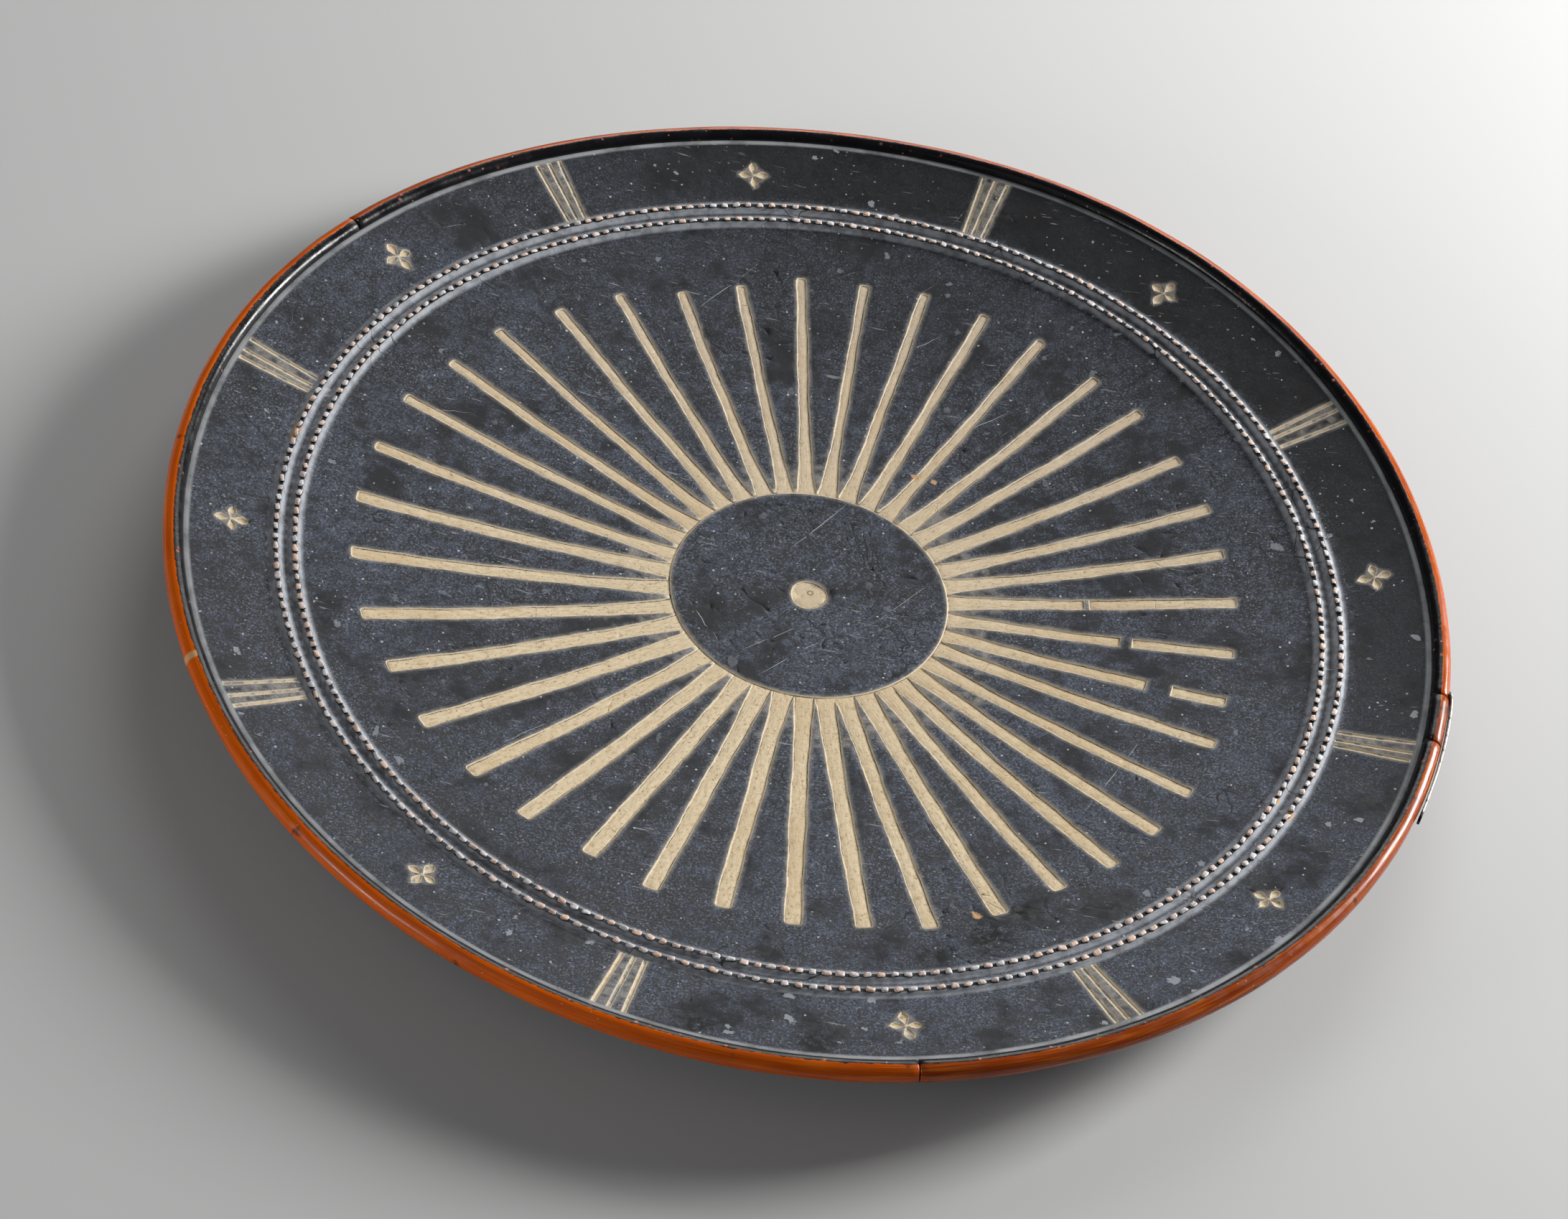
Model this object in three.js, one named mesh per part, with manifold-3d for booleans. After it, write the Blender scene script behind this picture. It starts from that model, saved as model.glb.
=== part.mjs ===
// Round shield of thick black hide, dished on its carved face, with a sun of forty rays cut through
// the black skin, two rows of lacing on raised seams and a round cane rim made of four lengths.
// Millimetres, +Z up. The shield lies on its back, carved face up, with its axis on Z.
import * as THREE from 'three';
import { mergeVertices } from 'three/addons/utils/BufferGeometryUtils.js';
import Module from 'manifold-3d';

const wasm = await Module();
wasm.setup();

// Driving dimensions
const SHIELD_RADIUS = 325;
const CANE_DIAMETER = 10.5;
const HIDE_THICKNESS = 6;
const LIP_THICKNESS = 2.6;
const BOWL_RISE = 35.8;
const CANE_ABOVE_MIDDLE = 34.4;
const LIP_ABOVE_CANE_LINE = 0.6;
const LIP_SHOWN = 1;
const LIP_SHORT_OF_CANE_LINE = 0.5;
const FLAT_SPOT_RADIUS = 60;
const FIT_GAP = 0.3;

// Raised seams and the lacing that runs along them
const SEAM_RADII = { inner: 260, outer: 269.5 };
const SEAM_HALF_WIDTH = 3.4;
const SEAM_CREST_HALF_WIDTH = 1.1;
const SEAM_HEIGHT = 1.7;
const LACING_WIDTH = 2.6;
const LACING_HEIGHT = 1.2;
const LACING_TOP_SHARE = 0.5;

// Sun carved in the face
const CUT_DEPTH = 0.7;
const DOT_RADIUS = 9.3;
const BLACK_DISC_RADIUS = 70.7;
const RAY_COUNT = 40;
const FIRST_RAY_TURN = 2.8;
const RAY_TIP_RADIUS = 224.5;
const RAY_WIDTH = 6.5;
const RAY_WIDTH_SWING = 1.3;
const RAY_FLARE = 5.2;
const RAY_FLARE_RUN = 17;
const RAY_STATIONS = [0, 0.1, 0.34];
const RAY_TIP_CORNER = 1.6;
// Where the rays, stepped off by eye, drift from even spacing (degrees) and even reach (mm)
const RAY_DRIFTS = [
  { count: 1, height: 3.1, turn: 250 },
  { count: 2, height: 1.2, turn: 65 },
];
const RAY_REACHES = [
  { count: 1, height: 4, turn: 205 },
  { count: 3, height: 3.5, turn: 60 },
];

// Ornaments between the outer seam and the rim, at turns stepped off by eye
const LINE_GROUP_TURNS = [34.5, 79.5, 126.5, 169.5, 213.5, 260.5, 305, 349.5];
const LINE_WIDTH = 1.9;
const LINE_SPACING = { inside: 5.2, outside: 7 };
const LINE_RADII = { inside: 274, outside: 311.5 };
const FLOWER_TURNS = [13, 57.5, 105, 148, 191, 239.5, 286, 325.5];
const FLOWER_RADIUS = 291.5;
const PETAL_COUNT = 4;
const PETAL_LENGTH = 8.2;
const PETAL_WIDTH = 4.6;
const PETAL_WIDEST = 0.62;
const PETAL_POINT = 0.5;

// Cane lengths, from joint to joint around the rim, and the strip that mends the short one
const CANE_TURNS = {
  rim_cane_top: [-3, 149],
  rim_cane_left: [149, 286],
  rim_cane_right: [286, 351],
  rim_cane_splice: [351, 357],
};
const JOINT_GAP = 0.6;
const STRIP_TURNS = [342, 357.5];
const STRIP_THICKNESS = 1.4;
const STRIP_HEIGHT = 5;

// The hide dried a little out of flat and out of round: swells counted around the rim
const RIM_SWELLS = [
  { count: 3, height: 2.5, turn: 53 },
  { count: 4, height: 1.1, turn: -26.5 },
];
const RIM_OVALS = [
  { count: 2, height: 1.9, turn: -70.5 },
  { count: 3, height: 1.2, turn: 52 },
];

// Fineness of the facets
const TURN_STEPS = 72;
const CANE_SIDES = 10;
const DOT_SIDES = 12;
const BACK_RING_RADII = [130, 205];
const SUN_RING_RADII = [230, 150];
const MERGE_DISTANCE = 1e-4;
const CUTTER_TOP = 80;
const UNCUT_BOTTOM = -10;
const SECTOR_REACH = 1.4;
const SECTOR_STEP = 20;

const radians = THREE.MathUtils.degToRad;
const caneRadius = CANE_DIAMETER / 2;
const caneLineRadius = SHIELD_RADIUS - caneRadius;
const lipStart = caneLineRadius - caneRadius - LIP_SHOWN;
const lipEnd = caneLineRadius - LIP_SHORT_OF_CANE_LINE;
const seamFoot = SEAM_RADII.outer + SEAM_HALF_WIDTH;
const middleThickness = HIDE_THICKNESS - bowl(FLAT_SPOT_RADIUS);
const caneHeight = middleThickness + CANE_ABOVE_MIDDLE;

// Height of the bare bowl above its middle.
function bowl(radius) {
  return BOWL_RISE * (radius / SHIELD_RADIUS) ** 2;
}

// Height of the carved face, without its seams: a bowl that ends in a level lip inside the cane.
function face(radius) {
  const lip = caneHeight + LIP_ABOVE_CANE_LINE;
  if (radius >= lipStart) {
    return lip;
  }
  const borderLift = lip - middleThickness - bowl(lipStart);
  const border = Math.max(0, (radius - seamFoot) / (lipStart - seamFoot));
  return middleThickness + bowl(radius) + borderLift * border;
}

// Height of the back: level in the middle, then parallel to the face, then thinned towards the lip.
function back(radius) {
  const border = THREE.MathUtils.clamp((radius - seamFoot) / (lipStart - seamFoot), 0, 1);
  const thickness = THREE.MathUtils.lerp(HIDE_THICKNESS, LIP_THICKNESS, border);
  return Math.max(0, face(radius) - thickness);
}

// Sum of the swells listed at one turn around the axis.
function swell(waves, turn) {
  return waves.reduce((sum, wave) => sum + wave.height * Math.cos(wave.count * (turn - radians(wave.turn))), 0);
}

// Moves every corner of a geometry from the true bowl to the slightly warped one.
// The level spot in the middle of the back stays as it is.
function warp(geometry) {
  const corners = geometry.attributes.position;
  for (let i = 0; i < corners.count; i += 1) {
    const x = corners.getX(i);
    const y = corners.getY(i);
    const radius = Math.hypot(x, y);
    const turn = Math.atan2(y, x);
    const reach = (radius ** 2 - FLAT_SPOT_RADIUS ** 2) / (SHIELD_RADIUS ** 2 - FLAT_SPOT_RADIUS ** 2);
    const share = Math.max(0, reach);
    const stretch = 1 + (share * swell(RIM_OVALS, turn)) / SHIELD_RADIUS;
    corners.setXYZ(i, x * stretch, y * stretch, corners.getZ(i) + share * swell(RIM_SWELLS, turn));
  }
  return geometry;
}

// Closed solid from a geometry: shared corners merged, empty triangles dropped.
function solidFrom(geometry) {
  geometry.deleteAttribute('normal');
  geometry.deleteAttribute('uv');
  const merged = mergeVertices(geometry, MERGE_DISTANCE);
  const index = merged.index.array;
  const triangles = [];
  for (let i = 0; i < index.length; i += 3) {
    const [a, b, c] = index.slice(i, i + 3);
    if (a !== b && b !== c && c !== a) {
      triangles.push(a, b, c);
    }
  }
  const vertProperties = merged.attributes.position.array;
  return new wasm.Manifold(new wasm.Mesh({ numProp: 3, vertProperties, triVerts: new Uint32Array(triangles) }));
}

// Geometry from a solid.
function geometryFrom(solid) {
  const mesh = solid.getMesh();
  const geometry = new THREE.BufferGeometry();
  geometry.setAttribute('position', new THREE.BufferAttribute(mesh.vertProperties, 3));
  geometry.setIndex(new THREE.BufferAttribute(mesh.triVerts, 1));
  return geometry;
}

// Solid turned about Z from a profile of [radius, height] pairs, listed back first.
function turned(profile) {
  const points = profile.map(([radius, height]) => new THREE.Vector2(radius, height));
  return solidFrom(new THREE.LatheGeometry(points, TURN_STEPS).rotateX(Math.PI / 2));
}

// Upright prism over an outline of [x, y] pairs, tall enough to pass through the whole shield.
function prism(outline) {
  const shape = new THREE.Shape(outline.map(([x, y]) => new THREE.Vector2(x, y)));
  return solidFrom(new THREE.ExtrudeGeometry(shape, { depth: CUTTER_TOP, bevelEnabled: false }));
}

// Outline points given along a spoke at one turn and across it, as [x, y] pairs.
function onSpoke(turn, points) {
  const along = [Math.cos(turn), Math.sin(turn)];
  return points.map(([out, across]) => [
    out * along[0] - across * along[1],
    out * along[1] + across * along[0],
  ]);
}

function joined(solids) {
  return solids.reduce((sum, solid) => sum.add(solid));
}

function mesh(name, geometry, material) {
  const piece = new THREE.Mesh(warp(geometry), material);
  piece.name = name;
  return piece;
}

// One ray: flared where it meets its neighbours at the black disc, straight outside, blunt at the tip.
// Rays towards -Y are cut wider.
function rayOutline(turn) {
  const width = RAY_WIDTH - RAY_WIDTH_SWING * Math.sin(turn);
  const tipRadius = RAY_TIP_RADIUS + swell(RAY_REACHES, turn);
  const length = tipRadius - BLACK_DISC_RADIUS;
  const side = RAY_STATIONS.map((share) => {
    const flare = RAY_FLARE * Math.exp((-share * length) / RAY_FLARE_RUN);
    return [BLACK_DISC_RADIUS + share * length, (width + flare) / 2];
  });
  const tip = [
    [tipRadius - RAY_TIP_CORNER, width / 2],
    [tipRadius, width / 2 - RAY_TIP_CORNER],
  ];
  const left = [...side, ...tip];
  const right = left.map(([out, across]) => [out, -across]).reverse();
  return onSpoke(turn, [...right, ...left]);
}

// One line of a group of three, numbered -1, 0 and 1: the outer two stand further apart at the rim.
function lineOutline(turn, number) {
  const half = LINE_WIDTH / 2;
  const inside = number * LINE_SPACING.inside;
  const outside = number * LINE_SPACING.outside;
  return onSpoke(turn, [
    [LINE_RADII.inside, inside - half],
    [LINE_RADII.outside, outside - half],
    [LINE_RADII.outside, outside + half],
    [LINE_RADII.inside, inside + half],
  ]);
}

// One petal: a kite with its sharp end at the middle of the flower.
function petalOutline(flowerTurn, petal) {
  const widest = PETAL_LENGTH * PETAL_WIDEST;
  const kite = onSpoke((petal * 2 * Math.PI) / PETAL_COUNT, [
    [PETAL_POINT, 0],
    [widest, -PETAL_WIDTH / 2],
    [PETAL_LENGTH, 0],
    [widest, PETAL_WIDTH / 2],
  ]);
  return onSpoke(flowerTurn, kite.map(([out, across]) => [out + FLOWER_RADIUS, across]));
}

function dotOutline() {
  return Array.from({ length: DOT_SIDES }, (_, i) => {
    const turn = (2 * Math.PI * i) / DOT_SIDES;
    return [DOT_RADIUS * Math.cos(turn), DOT_RADIUS * Math.sin(turn)];
  });
}

// The hide: a thick bowl with two raised seams, and everything carved into its black face.
function hideGeometry() {
  const backRadii = [0, FLAT_SPOT_RADIUS, ...BACK_RING_RADII, seamFoot, lipStart, lipEnd];
  const borderRadii = [lipEnd, lipStart, seamFoot];
  const middleRadii = [SEAM_RADII.inner - SEAM_HALF_WIDTH, ...SUN_RING_RADII, BLACK_DISC_RADIUS, 0];
  const seam = (radius) => [
    [radius + SEAM_CREST_HALF_WIDTH, SEAM_HEIGHT],
    [radius - SEAM_CREST_HALF_WIDTH, SEAM_HEIGHT],
  ];
  const valley = (SEAM_RADII.inner + SEAM_RADII.outer) / 2;
  const upper = [
    ...borderRadii.map((radius) => [radius, 0]),
    ...seam(SEAM_RADII.outer),
    [valley, 0],
    ...seam(SEAM_RADII.inner),
    ...middleRadii.map((radius) => [radius, 0]),
  ];
  const lower = backRadii.map((radius) => [radius, back(radius)]);
  const skin = upper.map(([radius, rise]) => [radius, face(radius) + rise]);
  const blank = turned([...lower, ...skin]);
  const cutFloor = skin.map(([radius, height]) => [radius, height - CUT_DEPTH]);
  const uncut = turned([[0, UNCUT_BOTTOM], [lipEnd, UNCUT_BOTTOM], ...cutFloor]);

  const outlines = [dotOutline()];
  for (let i = 0; i < RAY_COUNT; i += 1) {
    const even = FIRST_RAY_TURN + (360 / RAY_COUNT) * i;
    outlines.push(rayOutline(radians(even + swell(RAY_DRIFTS, radians(even)))));
  }
  for (const turn of LINE_GROUP_TURNS) {
    for (const number of [-1, 0, 1]) {
      outlines.push(lineOutline(radians(turn), number));
    }
  }
  for (const turn of FLOWER_TURNS) {
    for (let petal = 0; petal < PETAL_COUNT; petal += 1) {
      outlines.push(petalOutline(radians(turn), petal));
    }
  }
  const carving = joined(outlines.map(prism)).subtract(uncut);
  return geometryFrom(blank.subtract(carving));
}

// The lacing of one row: a low band along the crest of its seam.
function lacingGeometry(radius) {
  const bottom = face(radius) + SEAM_HEIGHT + FIT_GAP;
  const half = LACING_WIDTH / 2;
  const top = bottom + LACING_HEIGHT;
  const ring = [
    [radius - half, bottom],
    [radius + half, bottom],
    [radius + half * LACING_TOP_SHARE, top],
    [radius - half * LACING_TOP_SHARE, top],
    [radius - half, bottom],
  ];
  return geometryFrom(turned(ring));
}

// The whole rim: a round cane with a slot on its inner side for the lip of the hide.
function caneRing() {
  const lipMiddle = LIP_ABOVE_CANE_LINE - LIP_THICKNESS / 2;
  const slotHalf = LIP_THICKNESS / 2 + FIT_GAP;
  const start = -Math.PI + Math.asin((slotHalf - lipMiddle) / caneRadius);
  const end = Math.PI - Math.asin((slotHalf + lipMiddle) / caneRadius);
  const round = Array.from({ length: CANE_SIDES + 1 }, (_, i) => {
    const angle = THREE.MathUtils.lerp(start, end, i / CANE_SIDES);
    return [caneLineRadius + caneRadius * Math.cos(angle), caneHeight + caneRadius * Math.sin(angle)];
  });
  const slotEnd = lipEnd + FIT_GAP;
  const slot = [
    [slotEnd, caneHeight + lipMiddle + slotHalf],
    [slotEnd, caneHeight + lipMiddle - slotHalf],
  ];
  return turned([...round, ...slot, round[0]]);
}

// Pie-shaped prism between two turns given in degrees, pulled in at each end by part of the joint gap.
function sector([from, to]) {
  const reach = SHIELD_RADIUS * SECTOR_REACH;
  const pull = THREE.MathUtils.radToDeg(JOINT_GAP / 2 / SHIELD_RADIUS);
  const steps = Math.ceil((to - from) / SECTOR_STEP);
  const rim = Array.from({ length: steps + 1 }, (_, i) => {
    const turn = radians(THREE.MathUtils.lerp(from + pull, to - pull, i / steps));
    return [reach * Math.cos(turn), reach * Math.sin(turn)];
  });
  return prism([[0, 0], ...rim]);
}

// The mending strip: a thin bar bent round the outside of the cane over the short length.
function stripGeometry() {
  const inside = SHIELD_RADIUS + FIT_GAP;
  const outside = inside + STRIP_THICKNESS;
  const low = caneHeight - STRIP_HEIGHT / 2;
  const high = caneHeight + STRIP_HEIGHT / 2;
  const band = turned([[inside, low], [outside, low], [outside, high], [inside, high], [inside, low]]);
  return geometryFrom(band.intersect(sector(STRIP_TURNS)));
}

const hideMaterial = new THREE.MeshStandardMaterial({ color: 0x24262b, roughness: 0.5, metalness: 0 });
const lacingMaterial = new THREE.MeshStandardMaterial({ color: 0xb59a86, roughness: 0.6, metalness: 0 });
const caneMaterial = new THREE.MeshStandardMaterial({ color: 0xa64a14, roughness: 0.3, metalness: 0 });
const stripMaterial = new THREE.MeshStandardMaterial({ color: 0x8d8a84, roughness: 0.4, metalness: 1 });

const shield = new THREE.Group();
shield.add(mesh('hide_disc', hideGeometry(), hideMaterial));
for (const [row, radius] of Object.entries(SEAM_RADII)) {
  shield.add(mesh(`lacing_${row}`, lacingGeometry(radius), lacingMaterial));
}
const rim = caneRing();
for (const [name, turns] of Object.entries(CANE_TURNS)) {
  shield.add(mesh(name, geometryFrom(rim.intersect(sector(turns))), caneMaterial));
}
shield.add(mesh('mending_strip', stripGeometry(), stripMaterial));

export default shield;
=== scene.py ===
import math

import bpy
import numpy as np
from bpy.props import FloatProperty, FloatVectorProperty, IntProperty, PointerProperty
from mathutils import Matrix, Vector, noise
from mathutils.geometry import delaunay_2d_cdt


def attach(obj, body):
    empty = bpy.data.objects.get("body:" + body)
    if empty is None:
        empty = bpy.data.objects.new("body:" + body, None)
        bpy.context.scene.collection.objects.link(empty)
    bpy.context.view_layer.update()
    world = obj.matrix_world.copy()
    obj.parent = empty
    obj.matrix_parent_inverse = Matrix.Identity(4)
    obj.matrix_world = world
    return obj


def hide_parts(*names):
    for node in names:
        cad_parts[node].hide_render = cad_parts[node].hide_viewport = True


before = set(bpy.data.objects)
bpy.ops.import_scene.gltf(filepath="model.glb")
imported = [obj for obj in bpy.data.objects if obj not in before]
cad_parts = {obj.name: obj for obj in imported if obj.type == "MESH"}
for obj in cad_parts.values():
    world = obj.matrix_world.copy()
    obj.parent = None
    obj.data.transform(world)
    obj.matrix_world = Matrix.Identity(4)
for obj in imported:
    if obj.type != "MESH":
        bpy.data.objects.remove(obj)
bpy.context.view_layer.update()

bl_info = {
    "name": "Round hide shield",
    "version": (1, 0, 0),
    "blender": (4, 5, 0),
    "location": "3D View > Sidebar > Shield",
    "description": "Builds a round hide shield with a carved sun, laced seams and a cane rim",
    "category": "Object",
}

MM = 0.001
SEED = 7

# The hide dried a little out of flat and out of round: waves counted around the rim,
# each with its height in millimetres and the turn in degrees at which it peaks.
RIM_SWELLS = [(3, 2.5, 53), (4, 1.1, -26.5)]
RIM_OVALS = [(2, 1.9, -70.5), (3, 1.2, 52)]
# Where the rays drift from even spacing (degrees) and from even reach (millimetres).
RAY_DRIFTS = [(1, 3.1, 250), (2, 1.2, 65)]
RAY_REACHES = [(1, 4.0, 205), (3, 3.5, 60)]

# Rays near one turn stop short: turn and spread in degrees, shortfall in millimetres.
SHORT_RAYS = (115, 9, 7)
# The wobble of a hand-held knife along a ray: run and height of each wave in millimetres.
KNIFE_WOBBLES = [(71, 0.22), (27, 0.14), (9, 0.07)]

# Ornaments between the outer seam and the rim, at turns stepped off one by one.
LINE_GROUP_TURNS = [34.5, 79.5, 126.5, 169.5, 213.5, 260.5, 305, 349.5]
FLOWER_TURNS = [13, 57.5, 105, 148, 191, 239.5, 286, 325.5]
# Cane lengths from joint to joint, in degrees around the rim.
CANE_TURNS = {
    "rim_cane_top": (-3, 149),
    "rim_cane_left": (149, 286),
    "rim_cane_right": (286, 351),
    "rim_cane_splice": (351, 357),
}
CANE_REDNESS = {
    "rim_cane_top": 0.55,
    "rim_cane_left": 0.05,
    "rim_cane_right": 0.75,
    "rim_cane_splice": 0.85,
}
CANE_KNOT_TURN = 209
# The mending strip: its ends, where its upper end bends in, where its lower end stands off and turns black.
STRIP_TURNS = (342, 357.5)
STRIP_BENT_FROM = 356.2
STRIP_OFF_BELOW = 345.5
STRIP_BLACK_BELOW = 342.8

# Wear that has a place of its own: turn in degrees, radius and reach in millimetres.
RAY_BRIDGES = [(359.5, 159, 165), (353.1, 176, 189), (8.8, 141, 143.5)]
BLACK_SMEARS = [
    (298, 240, 20), (291, 248, 14), (278, 304, 16), (268, 306, 14), (303, 232, 10), (240, 150, 13),
]
CHIPS = [
    (66.2, 105, 2.4), (298, 225.5, 3.2), (61.5, 108, 1.6), (215, 246, 1.8), (331, 301, 1.5),
    (175.9, 270.2, 3), (176.7, 270, 3.2), (177.5, 270.3, 3.2), (178.3, 270, 2.8), (337, 270.4, 3),
    (336.3, 270, 3), (338, 260.6, 3),
]
# Long scratches from end to end, in millimetres over the plan.
LONG_SCRATCHES = [
    ((-90, 179), (-62, 222)), ((-17, -62), (12, -28)), ((34, -12), (60, 24)), ((-30, -50), (4, -18)),
    ((-14, 30), (10, 68)), ((60, 130), (84, 150)), ((-130, -150), (-112, -128)), ((150, -120), (176, -60)),
    ((-210, 60), (-190, 66)), ((96, -80), (118, -104)), ((20, 176), (42, 196)), ((-60, -20), (-40, -44)),
]
SMALL_SCRATCHES = 150
BLACK_STROKES = 7
# Crazed lacquer, the disc first: middle and spread in millimetres over the plan, and the number of cracks.
CRACK_ZONES = [
    (0, 0, 66, 46), (-75, 165, 34, 12), (118, -212, 26, 26), (40, 95, 30, 8), (-130, -60, 60, 10),
    (200, 60, 50, 8), (150, -150, 60, 14), (0, -285, 60, 10),
]

# Depths and heights of what is too slight to be a size of its own, in metres.
SCRATCH_DEPTH = 0.02 * MM
CRACK_DEPTH = 0.04 * MM
CHIP_DEPTH = 0.4 * MM
FACE_UNEVEN = 0.16 * MM
BACK_UNEVEN = 0.25 * MM
FIBRE_UNEVEN = 0.1 * MM
# Cuts in the border are shallower than those of the sun.
BORDER_CUT_SHARE = 0.75

# How far out from a cut its distance is worked out, and the widest turn that a ray takes up, in radians.
CUT_FAR = 12 * MM
RAY_SPREAD = 0.14
# Two turns closer than this, in degrees, are the same ray.
SAME_RAY = 4.4
# Width of the bare ring round the black disc.
RING_WIDTH = 1.4 * MM
# Gap between the lines of a group at their inner ends, and how much it grows outwards, in millimetres.
LINE_GAP = 5.2
LINE_SPLAY = 1.8
# A petal's width along its length, both as shares of the whole.
PETAL_OUTLINE = ([0.05, 0.35, 0.62, 0.85, 1.0], [0.0, 0.62, 1.0, 0.72, 0.0])
PETAL_WEAR = 0.25
# Spacing of the mesh along a ray and over the plain face, and points in each ring of the face.
RAY_STEP = 3 * MM
FACE_STEP = 4.3 * MM
SEAM_POINTS = 720
DISC_POINTS = 260
DOT_POINTS = 44

# The stage, in metres: place, size and watts of each lamp, then the camera with its roll in degrees.
LAMPS = {
    "key": ((1.9, 1.1, 0.95), 0.8, 90),
    "sheen": ((0.2, 2.5, 1.4), 1.6, 30),
    "fill": ((-1.5, -1.6, 2.2), 2.2, 4),
    "rim": ((-1.9, -1.3, 0.6), 0.6, 14),
}
LAMP_AIM = (0, 0, 0.03)
WORLD_STRENGTH = 0.075
FLOOR_HALF = 6
CAMERA_PLACE = (0, -1.3614, 1.4034)
CAMERA_AIM = (-0.0106, -0.0467, 0.0392)
CAMERA_ROLL = 11.04
CAMERA_LENS = 88.6
CAMERA_SENSOR = 36


def linear(hex_colour):
    """Linear RGBA from an sRGB hex value."""
    parts = [int(hex_colour[i:i + 2], 16) / 255 for i in (1, 3, 5)]
    parts = [c / 12.92 if c <= 0.04045 else ((c + 0.055) / 1.055) ** 2.4 for c in parts]
    return (*parts, 1.0)


def length(name, description, default):
    """A length in millimetres as a property in metres."""
    return FloatProperty(
        name=name, description=description, default=default * MM, unit="LENGTH", precision=5
    )


def colour(name, description, hex_colour):
    """A colour given as an sRGB hex value."""
    return FloatVectorProperty(
        name=name, description=description, default=linear(hex_colour), subtype="COLOR", size=4, min=0, max=1
    )


class ShieldSizes(bpy.types.PropertyGroup):
    """Sizes of the dished hide and its cane rim"""

    radius: length("Radius", "Outer radius over the rim cane", 325)
    bowl_rise: length("Bowl rise", "Rise of the bare bowl from middle to rim", 35.8)
    hide_thickness: length("Hide thickness", "Thickness of the hide inside the seams", 6)
    lip_thickness: length("Lip thickness", "Thickness of the hide where the cane grips it", 2.6)
    lip_shown: length("Lip shown", "Width of level lip seen inside the cane", 1)
    lip_short: length("Lip end", "How far the lip stops short of the cane's centre line", 0.5)
    lip_above: length("Lip above cane line", "Height of the lip over the cane's centre line", 0.6)
    cane_diameter: length("Cane diameter", "Thickness of the rim cane", 10.5)
    cane_above_middle: length("Cane above middle", "Height of the cane's centre line over the face", 34.4)
    flat_spot: length("Level spot", "Radius of the level spot on the back", 60)
    fit_gap: length("Fit gap", "Gap between pieces", 0.3)
    joint_gap: length("Joint gap", "Gap between two cane lengths", 0.6)
    strip_thickness: length("Strip thickness", "Thickness of the mending strip", 1.4)
    strip_height: length("Strip height", "Height of the mending strip", 5)


class OrnamentSizes(bpy.types.PropertyGroup):
    """Sizes of the carving and of the laced seams"""

    cut_depth: length("Cut depth", "Depth of the carving", 0.7)
    dot_radius: length("Dot radius", "Radius of the scraped dot in the middle", 9.3)
    disc_radius: length("Disc radius", "Radius of the black disc inside the rays", 70.7)
    ray_count: IntProperty(name="Rays", description="Number of rays", default=40, min=3)
    first_ray: FloatProperty(
        name="First ray", description="Turn of the first ray", default=math.radians(2.8), subtype="ANGLE"
    )
    ray_tip: length("Ray tip radius", "Mean radius of the ray tips", 224.5)
    ray_width: length("Ray width", "Mean width of a ray", 6.5)
    ray_swing: length("Ray width swing", "How much wider rays are cut towards -Y", 1.3)
    ray_foot: length("Ray foot", "Width of a ray at the black disc", 11.1)
    ray_flare_run: length("Ray flare run", "Distance over which the flare dies away", 17)
    ray_corner: length("Ray tip corner", "Corner radius of a ray tip", 1.6)
    line_width: length("Line width", "Width of a line in a group of three", 1.9)
    line_inside: length("Line start", "Radius at which the lines start", 274)
    line_outside: length("Line end", "Radius at which the lines end", 311.5)
    flower_radius: length("Flower radius", "Radius at which the flowers stand", 291.5)
    petal_length: length("Petal length", "Length of a petal from the flower's middle", 8.4)
    petal_width: length("Petal width", "Greatest width of a petal", 4.6)
    seam_inner: length("Inner seam", "Radius of the inner seam", 260)
    seam_outer: length("Outer seam", "Radius of the outer seam", 269.5)
    seam_half: length("Seam half width", "Half the width of a raised seam", 3.4)
    seam_crest: length("Seam crest", "Half the width of a seam's crest", 0.9)
    seam_height: length("Seam height", "Height of a raised seam", 1.7)
    stitch_count: IntProperty(name="Stitches", description="Stitches in one row", default=258, min=12)
    stitch_length: length("Stitch length", "Length of a stitch along its seam", 4.5)
    stitch_width: length("Stitch width", "Width of a stitch across its seam", 2.9)
    stitch_height: length("Stitch height", "Height of a stitch over the crest", 1.0)


class ShieldColours(bpy.types.PropertyGroup):
    """Colours of the shield's finishes and of its stage"""

    lacquer: colour("Black lacquer", "Deepest black of the lacquered hide", "#131418")
    dusty: colour("Dusty lacquer", "Lacquer greyed by dust and handling", "#484E5B")
    chalk: colour("Chalky scuffs", "Specks, scratches and dry edges", "#B9BABB")
    raw: colour("Raw hide", "Hide bared by scraping", "#D3BC96")
    raw_pale: colour("Pale raw hide", "Lighter fibres of the bared hide", "#E6D6B8")
    raw_dark: colour("Brown raw hide", "Darker fibres and pores of the bared hide", "#A98558")
    grime: colour("Grime", "Dirt in the knife lines", "#2B2019")
    lacing: colour("Lacing", "Worn tops of the rawhide stitches", "#D9B9A4")
    cane: colour("Cane", "Orange-brown varnished cane", "#E05E00")
    cane_red: colour("Red cane", "Dark red-brown varnished cane", "#571F10")
    flake: colour("Flakes", "Red ground bared where the black has flaked", "#B0604C")
    metal: colour("Strip", "Tarnished strip", "#9C9A94")
    floor: colour("Floor", "Pale studio floor", "#C9C9C8")


def swell(waves, turn):
    """Sum of waves around the axis at turns in radians."""
    return sum(height * np.cos(count * (turn - math.radians(peak))) for count, height, peak in waves)


def smooth(start, end, value):
    """Smooth step from 0 at start to 1 at end."""
    share = np.clip((value - start) / (end - start), 0, 1)
    return share * share * (3 - 2 * share)


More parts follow.
